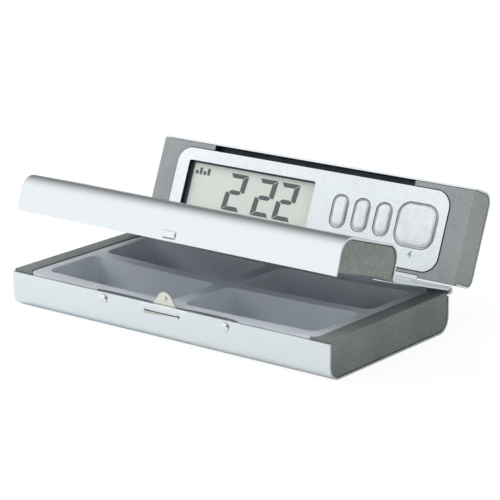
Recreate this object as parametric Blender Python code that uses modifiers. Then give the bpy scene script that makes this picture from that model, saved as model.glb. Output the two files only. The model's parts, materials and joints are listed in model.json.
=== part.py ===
# Electronic pill box: a bent aluminium base with a four-pocket tray, a lid on a rear pin,
# and a clock leaf on the same pin that folds down behind the lid's front box.
# Metres, +Z up. X runs along the hinge, -Y is the front, Z = 0 is the base's underside.

import math

import bmesh
import bpy
from mathutils import Matrix, Vector

# Case and sheet metal
CASE_LENGTH = 0.102
CASE_DEPTH = 0.051
SHEET = 0.0005
BASE_WALL_HEIGHT = 0.0096
BASE_BEND_RADIUS = 0.004
LID_WALL_HEIGHT = 0.0097
LID_FRONT_RADIUS = 0.0042
LID_REAR_RADIUS = 0.004
LID_FOOT_RADIUS = 0.0012
PARTING_GAP = 0.0003

# Clearances
SEAT_GAP = 0.0002
TRIM_GAP = 0.00015
PIN_CLEARANCE = 0.0001
KNUCKLE_SIDE_GAP = 0.0003
SWING_GAP = 0.0003
FOLD_GAP = 0.0002
OVERRUN = 0.001

# Pose of the two leaves at rest, in degrees
LID_RAISED = 17.8
CLOCK_LEAN = 21.8

# Hinge
PIN_RADIUS = 0.00045
PIN_OVERHANG = 0.00015
CLOCK_KNUCKLE_LENGTH = 0.0115
LID_KNUCKLE_LENGTH = 0.0109
WEB_BELOW_PIN = 0.00005
KNUCKLE_LEAD = 0.0012

# End caps
CAP_RISE = 0.00065
CAP_INSET = 0.00015
CAP_WIDTH = 0.0048
CAP_OVERLAP = 0.0023
CAP_EDGE = 0.0003
LID_CAP_THICKNESS = 0.003
LID_CAP_LIFT = 0.0009
LID_CAP_ARCH = 0.0003

# Pill tray
TRAY_DROP = 0.0002
TRAY_WALL = 0.001
TRAY_CORNER = 0.0025
TRAY_END_RIM = 0.0025
TRAY_LONG_RIM = 0.004
DIVIDER_WIDTH = 0.003
TRAY_SAG = 0.0007
TRAY_SAG_HALF = 0.044
POCKET_CORNER = 0.003
POCKET_DRAFT = 0.0012
POCKET_LIP = 0.0004
POCKET_FILLET = 0.0016

# Latch: its heights are counted down or up from the top of the front wall
RIVET_SPACING = 0.0392
RIVET_DROP = 0.0017
RIVET_SHANK_RADIUS = 0.0007
RIVET_HEAD_RADIUS = 0.0012
RIVET_HEAD_RISE = 0.0006
RIVET_TAIL_THICKNESS = 0.0002
SPRING_SHEET = 0.00025
SPRING_END = 0.0024
SPRING_DROP = 0.0005
SPRING_WIDTH = 0.0033
SPRING_CORNER = 0.0008
SPRING_PLAY = 0.0003
TAB_RADIUS = 0.0025
TAB_RISE = 0.00335
TAB_FOOT_HALF = 0.004
BUMP_RADIUS = 0.0008
BUMP_PROUD = 0.00055
BUMP_LIFT = 0.0017
CATCH_WIDTH = 0.004
CATCH_HEIGHT = 0.002
CATCH_LIFT = 0.00025
CATCH_RISE = 0.00035
CATCH_SHEET = 0.0002
SLIT_LENGTH = 0.0111
SLIT_SHIFT = 0.0006
SLIT_WIDTH = 0.0003
SLIT_DROP = 0.002
SLIT_EYE_RADIUS = 0.00045
RECESS_MARGIN = 0.0006
SCOOP_PLACE = 0.013
SCOOP_HALF = 0.0085
SCOOP_DEPTH = 0.0007
SCOOP_DROP = 0.0014

# Clock leaf: N runs from the face to the back, U from the pin to the far edge
CLOCK_WIDTH = 0.02505
CLOCK_STEP = 0.0006
CLOCK_ROOT = 0.0016
FACE_OFFSET = 0.00115
CLOCK_BACK_RADIUS = 0.0034
CLOCK_ROOT_RADIUS = 0.0024
WRAP_SETBACK = 0.00025
FOOT_LIP_DEPTH = 0.0009
FRAME_RECESS = 0.00125
FRAME_END = 0.0063
FRAME_FOOT_RIM = 0.00155
FRAME_HEAD_RIM = 0.0021
LEDGE_RIM = 0.0012
PANEL_CORNER = 0.0045
PANEL_THICKNESS = 0.0013
GRIP_MARGIN = 0.0118
GRIP_DEPTH = 0.0022
LCD_SIDE_MARGIN = 0.0042
LCD_FOOT_MARGIN = 0.0045
LCD_HEAD_MARGIN = 0.0035
LCD_TO_BUTTONS = 0.00695
LCD_WINDOW_CORNER = 0.0006
LCD_MARGIN = 0.0014
LCD_THICKNESS = 0.0011
BACKLIGHT_THICKNESS = 0.0009
STRIP_WIDTH = 0.0017
BOARD_THICKNESS = 0.0008
BOARD_MARGIN = 0.0003
CAVITY_CORNER = 0.0006
FRAME_END_WALL = 0.00385
FRAME_LONG_WALL = 0.0015

# Buttons
SMALL_BUTTON_WIDTH = 0.00485
SMALL_BUTTON_LENGTH = 0.00865
SMALL_BUTTON_GAP = 0.00205
LARGE_BUTTON_WIDTH = 0.0121
LARGE_BUTTON_LENGTH = 0.0115
LARGE_BUTTON_CORNER = 0.0035
LARGE_BUTTON_MARGIN = 0.0026
LARGE_BUTTON_GAP = 0.0019
BUTTON_LIFT = 0.0002
BUTTON_PROUD = 0.00025
BUTTON_EDGE = 0.0003
BUTTON_TRAVEL = 0.0005
FLANGE_WIDTH = 0.0003
FLANGE_THICKNESS = 0.0004
MAT_THICKNESS = 0.0004
MAT_MARGIN = 0.0003
PAD_INSET = 0.0012
PAD_GAP = 0.0001

# Electronics and battery
CELL_RADIUS = 0.008
CELL_STANDOFF = 0.001175
CELL_RIM = 0.0004
CONTACT_SHEET = 0.00015
CONTACT_WIDTH = 0.0036
DOOR_MARGIN = 0.0009
DOOR_THICKNESS = 0.0008
DOOR_SLOT_LENGTH = 0.0125
DOOR_SLOT_WIDTH = 0.0016
DOOR_SLOT_DEPTH = 0.0004
DOOR_LUG_REACH = 0.0011
DOOR_LUG_WIDTH = 0.004
DOOR_LUG_THICKNESS = 0.0004
BUZZER_RADIUS = 0.006
BUZZER_THICKNESS = 0.0014
LED_SIZE = 0.0016
LED_HEIGHT = 0.0008
SCREW_RADIUS = 0.0005
SCREW_HEAD_RADIUS = 0.001
SCREW_HEAD_THICKNESS = 0.0006
SCREW_LENGTH = 0.0017
SCREW_INSET = 0.0016
SCREW_EDGE = 0.0031

# Smoothness
BEND_STEPS = 6
CURL_STEPS = 18
ROUND_STEPS = 24
CORNER_STEPS = 5
LIP_STEPS = 3
SAG_STEPS = 14

# Places worked out from the sizes above
half_length = CASE_LENGTH / 2
half_depth = CASE_DEPTH / 2
inner_wall = half_depth - SHEET
cap_top = BASE_WALL_HEIGHT + CAP_RISE
web_under = cap_top + SEAT_GAP
knuckle_inner = PIN_RADIUS + PIN_CLEARANCE
knuckle_outer = knuckle_inner + SHEET
clock_knuckle_end = half_length - LID_KNUCKLE_LENGTH - KNUCKLE_SIDE_GAP
clock_knuckle_start = clock_knuckle_end - CLOCK_KNUCKLE_LENGTH
base_knuckle_half = clock_knuckle_start - KNUCKLE_SIDE_GAP
pin_y = inner_wall + knuckle_outer
pin_z = web_under + WEB_BELOW_PIN
lid_foot = BASE_WALL_HEIGHT + PARTING_GAP
lid_top = lid_foot + LID_WALL_HEIGHT
clock_back = lid_top - pin_z + CLOCK_STEP
clock_far = CLOCK_ROOT + CLOCK_WIDTH
lid_rear = pin_y - clock_far - FOLD_GAP

tray_half_length = half_length - CAP_WIDTH
tray_half_depth = inner_wall - SEAT_GAP
tray_top = cap_top - TRAY_DROP
tray_floor = SHEET + SEAT_GAP
rivet_height = BASE_WALL_HEIGHT - RIVET_DROP
spring_half_length = RIVET_SPACING / 2 + SPRING_END
spring_top = BASE_WALL_HEIGHT - SPRING_DROP
spring_foot = spring_top - SPRING_WIDTH
spring_front = -inner_wall + SEAT_GAP
spring_back = spring_front + SPRING_SHEET
tab_centre = BASE_WALL_HEIGHT + TAB_RISE - TAB_RADIUS
bump_height = BASE_WALL_HEIGHT + BUMP_LIFT
slit_height = BASE_WALL_HEIGHT - SLIT_DROP
rivet_tail = spring_back + SPRING_PLAY
recess_face = rivet_tail + RIVET_TAIL_THICKNESS + SEAT_GAP
recess_half_length = spring_half_length + RECESS_MARGIN
recess_floor = spring_foot - RECESS_MARGIN

panel_front = FACE_OFFSET + FRAME_RECESS - TRIM_GAP - PANEL_THICKNESS
panel_back = panel_front + PANEL_THICKNESS
panel_half_length = half_length - FRAME_END
panel_foot = CLOCK_ROOT + FRAME_FOOT_RIM
panel_head = clock_far - FRAME_HEAD_RIM
lcd_front = FACE_OFFSET + FRAME_RECESS
lcd_back = lcd_front + LCD_THICKNESS
backlight_front = lcd_back + TRIM_GAP
backlight_back = backlight_front + BACKLIGHT_THICKNESS
board_front = backlight_back + TRIM_GAP
board_back = board_front + BOARD_THICKNESS
ledge_back = board_front - SEAT_GAP
frame_back = clock_back - SHEET - TRIM_GAP
lip_back = FACE_OFFSET + FOOT_LIP_DEPTH
foot_wrap = lip_back + TRIM_GAP
cavity_half = half_length - CAP_INSET - FRAME_END_WALL
cavity_foot = CLOCK_ROOT + SHEET + TRIM_GAP + FRAME_LONG_WALL
cavity_top = clock_far - SHEET - TRIM_GAP - FRAME_LONG_WALL
board_half = cavity_half - BOARD_MARGIN
board_foot = cavity_foot + BOARD_MARGIN
board_head = cavity_top - BOARD_MARGIN

light_button_place = panel_half_length - LARGE_BUTTON_MARGIN - LARGE_BUTTON_WIDTH / 2
button_pitch = SMALL_BUTTON_WIDTH + SMALL_BUTTON_GAP
last_button_place = light_button_place - (LARGE_BUTTON_WIDTH + SMALL_BUTTON_WIDTH) / 2 - LARGE_BUTTON_GAP
first_button_place = last_button_place - 2 * button_pitch
button_rear = panel_back + TRIM_GAP + FLANGE_THICKNESS
window_left = -panel_half_length + LCD_SIDE_MARGIN
window_right = first_button_place - SMALL_BUTTON_WIDTH / 2 - LCD_TO_BUTTONS
window_foot = panel_foot + LCD_FOOT_MARGIN
window_head = panel_head - LCD_HEAD_MARGIN
window_middle = (window_left + window_right) / 2
window_centre = (window_foot + window_head) / 2
button_centre = window_centre + BUTTON_LIFT

door_radius = CELL_RADIUS + DOOR_MARGIN
door_back = clock_back - TRIM_GAP / 2
door_front = door_back - DOOR_THICKNESS
cell_front = board_back + CELL_STANDOFF
cell_back = door_front - TRIM_GAP
cell_height = (cavity_foot + cavity_top) / 2

# How a local plane's axes lie in the world: outline axes first, thickness axis last
PLANES = {
    "YZ": Matrix(((0, 0, 1), (1, 0, 0), (0, 1, 0))).to_4x4(),
    "XZ": Matrix(((1, 0, 0), (0, 0, -1), (0, 1, 0))).to_4x4(),
    "XY": Matrix.Identity(4),
}
NORMAL_SIGN = {"YZ": 1, "XZ": -1, "XY": 1}


# Scene, collections and materials

def clear_scene():
    for obj in list(bpy.data.objects):
        bpy.data.objects.remove(obj, do_unlink=True)


def make_collection(name, hidden=False):
    collection = bpy.data.collections.new(name)
    bpy.context.scene.collection.children.link(collection)
    collection.hide_render = hidden
    return collection


def make_material(name, colour, roughness, metallic):
    material = bpy.data.materials.new(name)
    material.use_nodes = True
    shader = material.node_tree.nodes["Principled BSDF"]
    shader.inputs["Base Color"].default_value = (*colour, 1)
    shader.inputs["Roughness"].default_value = roughness
    shader.inputs["Metallic"].default_value = metallic
    return material


clear_scene()
parts = make_collection("electronic_pill_box")
cutters = make_collection("cutters", hidden=True)


def place(obj, collection):
    for owner in list(obj.users_collection):
        owner.objects.unlink(obj)
    collection.objects.link(obj)


def make_pivot(name, location, turn, parent=None):
    pivot = bpy.data.objects.new(name, None)
    parts.objects.link(pivot)
    pivot.empty_display_size = knuckle_outer
    pivot.location = location
    pivot.rotation_euler = turn
    pivot.parent = parent
    return pivot


# Outlines

def arc(centre, radius, start, end, steps):
    points = []
    for i in range(steps + 1):
        angle = start + (end - start) * i / steps
        points.append((centre[0] + radius * math.cos(angle), centre[1] + radius * math.sin(angle)))
    return points


def circle(centre, radius, steps=ROUND_STEPS):
    return arc(centre, radius, 0, 2 * math.pi, steps)[:-1]


def rounded_corner(before, corner, after, radius, steps):
    corner = Vector(corner)
    back = (Vector(before) - corner).normalized()
    ahead = (Vector(after) - corner).normalized()
    half = back.angle(ahead) / 2
    centre = corner + (back + ahead).normalized() * radius / math.sin(half)
    first = corner + back * radius / math.tan(half) - centre
    last = corner + ahead * radius / math.tan(half) - centre
    start = math.atan2(first.y, first.x)
    sweep = math.atan2(first.cross(last), first.dot(last))
    return arc(centre, radius, start, start + sweep, steps)


def rounded_path(corners, radii, steps):
    # The first and last corners stay sharp
    points = [tuple(corners[0])]
    for i in range(1, len(corners) - 1):
        if radii[i] > 0:
            points += rounded_corner(corners[i - 1], corners[i], corners[i + 1], radii[i], steps)
        else:
            points.append(tuple(corners[i]))
    points.append(tuple(corners[-1]))
    return points


def rounded_loop(corners, radius, steps=CORNER_STEPS):
    points = []
    for i, corner in enumerate(corners):
        after = corners[(i + 1) % len(corners)]
        points += rounded_corner(corners[i - 1], corner, after, radius, steps)
    return points


def rectangle(low, high):
    return [(low[0], low[1]), (high[0], low[1]), (high[0], high[1]), (low[0], high[1])]


def rounded_rectangle(low, high, radius, steps=CORNER_STEPS):
    return rounded_loop(rectangle(low, high), radius, steps)


def centred_rectangle(centre, width, height, radius, steps=CORNER_STEPS):
    low = (centre[0] - width / 2, centre[1] - height / 2)
    high = (centre[0] + width / 2, centre[1] + height / 2)
    return rounded_rectangle(low, high, radius, steps)


def bent_sheet(corners, radii, thickness, steps=BEND_STEPS):
    # The corners lie on the sheet's outer face, and the sheet lies to the right of the way they run
    inner = []
    inner_radii = []
    for i, corner in enumerate(corners):
        here = Vector(corner)
        back = (here - Vector(corners[max(i - 1, 0)])).normalized()
        ahead = (Vector(corners[min(i + 1, len(corners) - 1)]) - here).normalized()
        back = back if i > 0 else ahead
        ahead = ahead if i < len(corners) - 1 else back
        right_back = Vector((back.y, -back.x))
        right_ahead = Vector((ahead.y, -ahead.x))
        shift = (right_back + right_ahead) / (1 + right_back.dot(right_ahead))
        inner.append(tuple(here + shift * thickness))
        turn = 1 if back.cross(ahead) > 0 else -1
        inner_radii.append(radii[i] + turn * thickness if radii[i] > 0 else 0)
    outer = rounded_path(corners, radii, steps)
    return outer + rounded_path(inner, inner_radii, steps)[::-1]


# Solids

def mesh_object(name, mesh, material=None, collection=None):
    obj = bpy.data.objects.new(name, mesh)
    (collection or parts).objects.link(obj)
    if material:
        mesh.materials.append(material)
    return obj


def plate(name, outline, low, high, plane, material=None, holes=(), collection=None):
    # A flat outline with holes, extruded from low to high along the plane's normal
    curve = bpy.data.curves.new(name, "CURVE")
    curve.dimensions = "2D"
    curve.fill_mode = "BOTH"
    curve.extrude = (high - low) / 2
    for loop in (outline, *holes):
        spline = curve.splines.new("POLY")
        spline.points.add(len(loop) - 1)
        spline.use_cyclic_u = True
        for point, (x, y) in zip(spline.points, loop):
            point.co = (x, y, 0, 1)
    flat = bpy.data.objects.new(name + "_outline", curve)
    bpy.context.scene.collection.objects.link(flat)
    graph = bpy.context.evaluated_depsgraph_get()
    mesh = bpy.data.meshes.new_from_object(flat.evaluated_get(graph))
    bpy.data.objects.remove(flat, do_unlink=True)
    bpy.data.curves.remove(curve)
    middle = NORMAL_SIGN[plane] * (low + high) / 2
    mesh.transform(PLANES[plane] @ Matrix.Translation((0, 0, middle)))
    weld_and_face_out(mesh)
    mesh.materials.clear()
    mesh.name = name
    return mesh_object(name, mesh, material, collection)


def weld_and_face_out(mesh):
    shape = bmesh.new()
    shape.from_mesh(mesh)
    bmesh.ops.remove_doubles(shape, verts=shape.verts, dist=SHEET / 1000)
    bmesh.ops.recalc_face_normals(shape, faces=shape.faces)
    shape.to_mesh(mesh)
    shape.free()


def block(name, low, high, material=None, collection=None):
    shape = bmesh.new()
    bmesh.ops.create_cube(shape, size=1)
    size = [b - a for a, b in zip(low, high)]
    middle = [(a + b) / 2 for a, b in zip(low, high)]
    bmesh.ops.scale(shape, vec=size, verts=shape.verts)
    bmesh.ops.translate(shape, vec=middle, verts=shape.verts)
    mesh = bpy.data.meshes.new(name)
    shape.to_mesh(mesh)
    shape.free()
    return mesh_object(name, mesh, material, collection)


def loft(name, rings, material=None, collection=None):
    # Each ring is an outline and its height; all rings have the same number of points
    shape = bmesh.new()
    loops = []
    for outline, height in rings:
        loops.append([shape.verts.new((x, y, height)) for x, y in outline])
    for lower, upper in zip(loops, loops[1:]):
        for i in range(len(lower)):
            j = (i + 1) % len(lower)
            shape.faces.new((lower[i], lower[j], upper[j], upper[i]))
    shape.faces.new(loops[0][::-1])
    shape.faces.new(loops[-1])
    bmesh.ops.recalc_face_normals(shape, faces=shape.faces)
    mesh = bpy.data.meshes.new(name)
    shape.to_mesh(mesh)
    shape.free()
    return mesh_object(name, mesh, material, collection)


def turned(name, profile, axis, centre, material=None, collection=None):
    # The profile holds (radius, place along the axis) from the high end down its outer side
    mesh = bpy.data.meshes.new(name)
    points = [(radius, 0, along) for radius, along in profile]
    mesh.from_pydata(points, [(i, i + 1) for i in range(len(points) - 1)], [])
    spun = mesh_object(name, mesh, material, collection)
    screw = spun.modifiers.new("Turned", "SCREW")
    screw.axis = "Z"
    screw.steps = screw.render_steps = ROUND_STEPS
    screw.use_merge_vertices = True
    screw.merge_threshold = SHEET / 1000
    graph = bpy.context.evaluated_depsgraph_get()
    finished = bpy.data.meshes.new_from_object(spun.evaluated_get(graph))
    spun.modifiers.clear()
    finished.transform(Matrix.Translation(centre) @ PLANES_OF_AXIS[axis])
    weld_and_face_out(finished)
    spun.data = finished
    bpy.data.meshes.remove(mesh)
    finished.name = name
    return spun


# The turned profile's own axis is Z; these turn it to run along another axis
PLANES_OF_AXIS = {
    "Z": Matrix.Identity(4),
    "X": Matrix.Rotation(math.radians(90), 4, "Y"),
    "Y": Matrix.Rotation(math.radians(-90), 4, "X"),
}


def combine(target, tools, operation):
    # Unites or subtracts in turn, then keeps the result as the target's own mesh
    for tool in tools:
        step = target.modifiers.new(operation.title(), "BOOLEAN")
        step.operation = operation
        step.object = tool
        step.solver = "EXACT"
    bpy.context.view_layer.update()
    graph = bpy.context.evaluated_depsgraph_get()
    finished = bpy.data.meshes.new_from_object(target.evaluated_get(graph))
    target.modifiers.clear()
    old = target.data
    target.data = finished
    finished.name = target.name
    bpy.data.meshes.remove(old)
    for tool in tools:
        bpy.data.objects.remove(tool, do_unlink=True)
    return target


def cut(target, *tools):
    return combine(target, tools, "DIFFERENCE")


def join(target, *tools):
    return combine(target, tools, "UNION")


def soften(obj, width, segments=2, angle=40):
    bevel = obj.modifiers.new("Soft edges", "BEVEL")
    bevel.width = width
    bevel.segments = segments
    bevel.limit_method = "ANGLE"
    bevel.angle_limit = math.radians(angle)
    return obj


def shade_round(obj, angle=30):
    obj.data.shade_smooth()
    obj.data.set_sharp_from_angle(angle=math.radians(angle))
    return obj


def hang(pivot, *objects):
    for obj in objects:
        obj.parent = pivot


def cutter_plate(outline, low, high, plane, holes=()):
    return plate("cutter", outline, low, high, plane, holes=holes, collection=cutters)


def cutter_block(low, high):
    return block("cutter", low, high, collection=cutters)


# Knuckles: a curl of sheet round the pin, led in from the leaf that carries it

def curl(lead_outer, lead_inner, start, end):
    outer = arc((0, 0), knuckle_outer, math.radians(start), math.radians(end), CURL_STEPS)
    inner = arc((0, 0), knuckle_inner, math.radians(start), math.radians(end), CURL_STEPS)
    return lead_outer + outer + inner[::-1] + lead_inner[::-1]


def base_curl():
    # Rises from the back wall, goes over the pin and ends below it at the back
    foot = BASE_WALL_HEIGHT / 2 - pin_z
    shape = curl([(-knuckle_outer, foot)], [(-knuckle_inner, foot)], 180, -100)
    return [(y + pin_y, z + pin_z) for y, z in shape]


def lid_curl():
    # Rises from the web, goes over the pin and comes back below it
    web_top = SHEET - WEB_BELOW_PIN
    far = -knuckle_outer - SWING_GAP - KNUCKLE_LEAD
    near = -knuckle_outer - SWING_GAP
    outer = [(far, web_top), (near, web_top), (-knuckle_inner, knuckle_outer)]
    inner = [(far, -WEB_BELOW_PIN), (near + SWING_GAP / 2, -WEB_BELOW_PIN), (-SWING_GAP, knuckle_inner)]
    return curl(outer, inner, 90, -140)


def clock_curl():
    # Leaves the leaf's wrapped edge, slopes down to the pin and goes round its front
    reach = foot_wrap + SHEET
    near = KNUCKLE_LEAD / 2
    step = SHEET / 2
    outer = [(reach, CLOCK_ROOT + SHEET), (KNUCKLE_LEAD, CLOCK_ROOT + SHEET), (near, knuckle_outer)]
    inner = [(reach, CLOCK_ROOT), (KNUCKLE_LEAD + step, CLOCK_ROOT), (near + step, knuckle_inner)]
    return curl(outer, inner, 90, 320)


def both_sides(outline, low, high):
    return [
        plate("cutter", outline, low, high, "YZ", collection=cutters),
        plate("cutter", outline, -high, -low, "YZ", collection=cutters),
    ]


# Base

def base_shell(material):
    corners = [
        (half_depth, BASE_WALL_HEIGHT - SWING_GAP - SEAT_GAP / 2),
        (half_depth, 0),
        (-half_depth, 0),
        (-half_depth, BASE_WALL_HEIGHT),
    ]
    radii = [0, BASE_BEND_RADIUS, BASE_BEND_RADIUS, 0]
    outline = bent_sheet(corners, radii, SHEET)
    shell = plate("base_shell", outline, -half_length, half_length, "YZ", material)
    knuckle = plate("cutter", base_curl(), -base_knuckle_half, base_knuckle_half, "YZ", collection=cutters)
    join(shell, knuckle)
    front = (-half_depth - OVERRUN, -inner_wall + OVERRUN)
    holes = []
    for side in (-1, 1):
        place = (side * RIVET_SPACING / 2, rivet_height)
        holes.append(cutter_plate(circle(place, RIVET_SHANK_RADIUS + PIN_CLEARANCE), *front, "XZ"))
    slit_end = SLIT_LENGTH / 2 - SLIT_SHIFT
    low = (slit_end - SLIT_LENGTH, slit_height - SLIT_WIDTH / 2)
    high = (slit_end, slit_height + SLIT_WIDTH / 2)
    slit = cutter_plate(rectangle(low, high), *front, "XZ")
    eye = cutter_plate(circle((slit_end, slit_height), SLIT_EYE_RADIUS), *front, "XZ")
    return shade_round(cut(shell, *holes, slit, eye))


def tray_outline(margin=0):
    half = tray_half_length + margin
    deep = tray_half_depth + margin
    return rounded_rectangle((-half, -deep), (half, deep), TRAY_CORNER + margin)


def base_end_cap(name, side, material):
    inner_radius = BASE_BEND_RADIUS - SHEET - SEAT_GAP
    deep = inner_wall - SEAT_GAP
    corners = [(deep, cap_top), (deep, tray_floor), (-deep, tray_floor), (-deep, cap_top)]
    outline = rounded_path(corners, [0, inner_radius, inner_radius, 0], BEND_STEPS)
    outer = half_length - CAP_INSET
    inner = tray_half_length - CAP_OVERLAP
    low, high = sorted((side * inner, side * outer))
    cap = plate(name, outline, low, high, "YZ", material)
    cut(cap, cutter_plate(tray_outline(SEAT_GAP), -OVERRUN, cap_top + OVERRUN, "XY"))
    return soften(shade_round(cap), CAP_EDGE, segments=1, angle=70)


def pocket_rings(centre, width, depth, grow, top, bottom, lip, fillet):
    # A tapered tub: flared lip, drafted wall and rounded floor edge, bottom first
    rings = []

    def ring(inset, height):
        corner = max(POCKET_CORNER - inset + grow, POCKET_LIP)
        size = (width - 2 * inset + 2 * grow, depth - 2 * inset + 2 * grow)
        rings.append((centred_rectangle(centre, *size, corner), height))

    for i in range(LIP_STEPS + 1):
        angle = math.pi / 2 * i / LIP_STEPS
        out = POCKET_DRAFT + fillet * (1 - math.sin(angle))
        ring(out, bottom + fillet * (1 - math.cos(angle)))
    if lip > 0:
        for i in range(LIP_STEPS + 1):
            angle = math.pi / 2 * i / LIP_STEPS
            ring(lip * math.cos(angle), top - lip + lip * math.sin(angle))
        ring(0, top + OVERRUN)
    else:
        ring(0, top)
    return rings


def tray_sag():
    # The deck dips along a shallow curve towards the middle of its length
    outline = []
    for i in range(SAG_STEPS + 1):
        x = half_length * (2 * i / SAG_STEPS - 1)
        outline.append((x, tray_top - TRAY_SAG * (1 - (x / TRAY_SAG_HALF) ** 2)))
    outline += [(half_length, tray_top + OVERRUN), (-half_length, tray_top + OVERRUN)]
    return cutter_plate(outline, -half_depth, half_depth, "XZ")


def recess_scoops():
    # Two shallow bows, one at each side of the tab, cut back into the deck
    steps = ROUND_STEPS // 2
    scoops = []
    for side in (-1, 1):
        middle = side * SCOOP_PLACE
        bow = [(middle + SCOOP_HALF, recess_face - OVERRUN)]
        for i in range(steps + 1):
            angle = math.pi * i / steps
            bow.append((middle + SCOOP_HALF * math.cos(angle), recess_face + SCOOP_DEPTH * math.sin(angle)))
        bow.append((middle - SCOOP_HALF, recess_face - OVERRUN))
        scoops.append(cutter_plate(bow, tray_top - SCOOP_DROP, tray_top + OVERRUN, "XY"))
    return scoops


def pill_tray(material):
    tray = plate("pill_tray", tray_outline(), tray_top - TRAY_WALL - TRAY_SAG, tray_top, "XY", material)
    skirt_top = tray_top - TRAY_WALL / 2
    skirt_foot = BASE_BEND_RADIUS + SEAT_GAP
    skirt = plate("cutter", tray_outline(), skirt_foot, skirt_top, "XY",
                  holes=[tray_outline(-TRAY_WALL)], collection=cutters)
    outer_recess = recess_half_length + TRAY_WALL
    backing = cutter_block(
        (-outer_recess, recess_face, recess_floor - TRAY_WALL),
        (outer_recess, recess_face + TRAY_WALL, skirt_top),
    )
    sill = cutter_block(
        (-outer_recess, -tray_half_depth, recess_floor - TRAY_WALL),
        (outer_recess, recess_face + TRAY_WALL / 2, recess_floor),
    )
    width = tray_half_length - TRAY_END_RIM - DIVIDER_WIDTH / 2
    depth = tray_half_depth - TRAY_LONG_RIM - DIVIDER_WIDTH / 2
    floor = tray_floor + TRAY_WALL
    tubs = []
    pockets = []
    for x_side in (-1, 1):
        for y_side in (-1, 1):
            centre = (x_side * (DIVIDER_WIDTH + width) / 2, y_side * (DIVIDER_WIDTH + depth) / 2)
            outer = pocket_rings(centre, width - 2 * POCKET_LIP, depth - 2 * POCKET_LIP, TRAY_WALL,
                                 skirt_top, tray_floor, 0, POCKET_FILLET)
            inner = pocket_rings(centre, width, depth, 0, tray_top, floor, POCKET_LIP, POCKET_FILLET)
            tubs.append(loft("cutter", outer, collection=cutters))
            pockets.append(loft("cutter", inner, collection=cutters))
    join(tray, skirt, backing, sill, *tubs)
    recess = cutter_block(
        (-recess_half_length, -tray_half_depth - OVERRUN, recess_floor),
        (recess_half_length, recess_face, tray_top + OVERRUN),
    )
    return shade_round(cut(tray, *pockets, recess, *recess_scoops(), tray_sag()), angle=40)


def tab_outline():
    # A round top on flanks that run straight out to the strip
    foot = Vector((TAB_FOOT_HALF, spring_top - tab_centre))
    spread = math.atan2(foot.y, foot.x) + math.acos(TAB_RADIUS / foot.length)
    top = arc((0, tab_centre), TAB_RADIUS, spread, math.pi - spread, ROUND_STEPS)
    low = spring_top - SPRING_CORNER
    right = [(TAB_FOOT_HALF, low), (TAB_FOOT_HALF, spring_top)]
    left = [(-TAB_FOOT_HALF, spring_top), (-TAB_FOOT_HALF, low)]
    return right + top + left


def latch_spring(material, pivot):
    # A riveted strip with a round tab that stands up behind the lid's front wall.
    # It is modelled about its lower edge, where the tab's flex is taken up.
    foot_y = (spring_front + spring_back) / 2
    half = spring_half_length
    strip = rounded_rectangle((-half, spring_foot), (half, spring_top), SPRING_CORNER)
    spring = plate("latch_spring", strip, spring_front, spring_back, "XZ", material)
    join(spring, cutter_plate(tab_outline(), spring_front, spring_back, "XZ"))
    holes = []
    for side in (-1, 1):
        centre = (side * RIVET_SPACING / 2, rivet_height)
        hole = circle(centre, RIVET_SHANK_RADIUS + 2 * PIN_CLEARANCE)
        holes.append(cutter_plate(hole, spring_front - OVERRUN, spring_back + OVERRUN, "XZ"))
    cut(spring, *holes)
    bump = turned("cutter", dome(BUMP_RADIUS, BUMP_PROUD, SPRING_SHEET / 2), "Y",
                  (0, spring_front, bump_height), collection=cutters)
    join(spring, bump)
    spring.data.transform(Matrix.Translation((0, -foot_y, -spring_foot)))
    hang(pivot, spring)
    return shade_round(spring)


def dome(radius, rise, root):
    # A low dome along -Z with a short root along +Z
    ball = (radius * radius + rise * rise) / (2 * rise)
    spread = math.asin(radius / ball)
    profile = [(0, root), (radius, root)]
    for i in range(LIP_STEPS * 2 + 1):
        angle = spread * (1 - i / (LIP_STEPS * 2))
        profile.append((ball * math.sin(angle), ball - rise - ball * math.cos(angle)))
    return profile


def latch_rivet(name, side, material):
    # Domed head outside the wall, shank through wall and spring, spread tail inside
    ball = dome(RIVET_HEAD_RADIUS, RIVET_HEAD_RISE, 0)[2:]
    tail = rivet_tail + half_depth
    profile = [
        (0, tail + RIVET_TAIL_THICKNESS),
        (RIVET_HEAD_RADIUS, tail + RIVET_TAIL_THICKNESS),
        (RIVET_HEAD_RADIUS, tail),
        (RIVET_SHANK_RADIUS, tail),
        (RIVET_SHANK_RADIUS, -SEAT_GAP / 2),
        (RIVET_HEAD_RADIUS, -SEAT_GAP / 2),
    ]
    profile += [(radius, along - SEAT_GAP / 2) for radius, along in ball[1:]]
    place = (side * RIVET_SPACING / 2, -half_depth, rivet_height)
    return shade_round(turned(name, profile, "Y", place, material))


def hinge_pin(material):
    half = half_length + PIN_OVERHANG
    edge = PIN_RADIUS / 3
    profile = [
        (0, half),
        (PIN_RADIUS - edge, half),
        (PIN_RADIUS, half - edge),
        (PIN_RADIUS, edge - half),
        (PIN_RADIUS - edge, -half),
        (0, -half),
    ]
    return shade_round(turned("hinge_pin", profile, "X", (0, pin_y, pin_z), material))


# Lid, about the pin's axis and closed

def catch_outline(margin=0):
    # The pocket pressed out of the front wall, in which the tab's bump snaps
    middle = bump_height + CATCH_LIFT - pin_z
    size = (CATCH_WIDTH + 2 * margin, CATCH_HEIGHT + 2 * margin)
    return rectangle((-size[0] / 2, middle - size[1] / 2), (size[0] / 2, middle + size[1] / 2))


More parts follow.
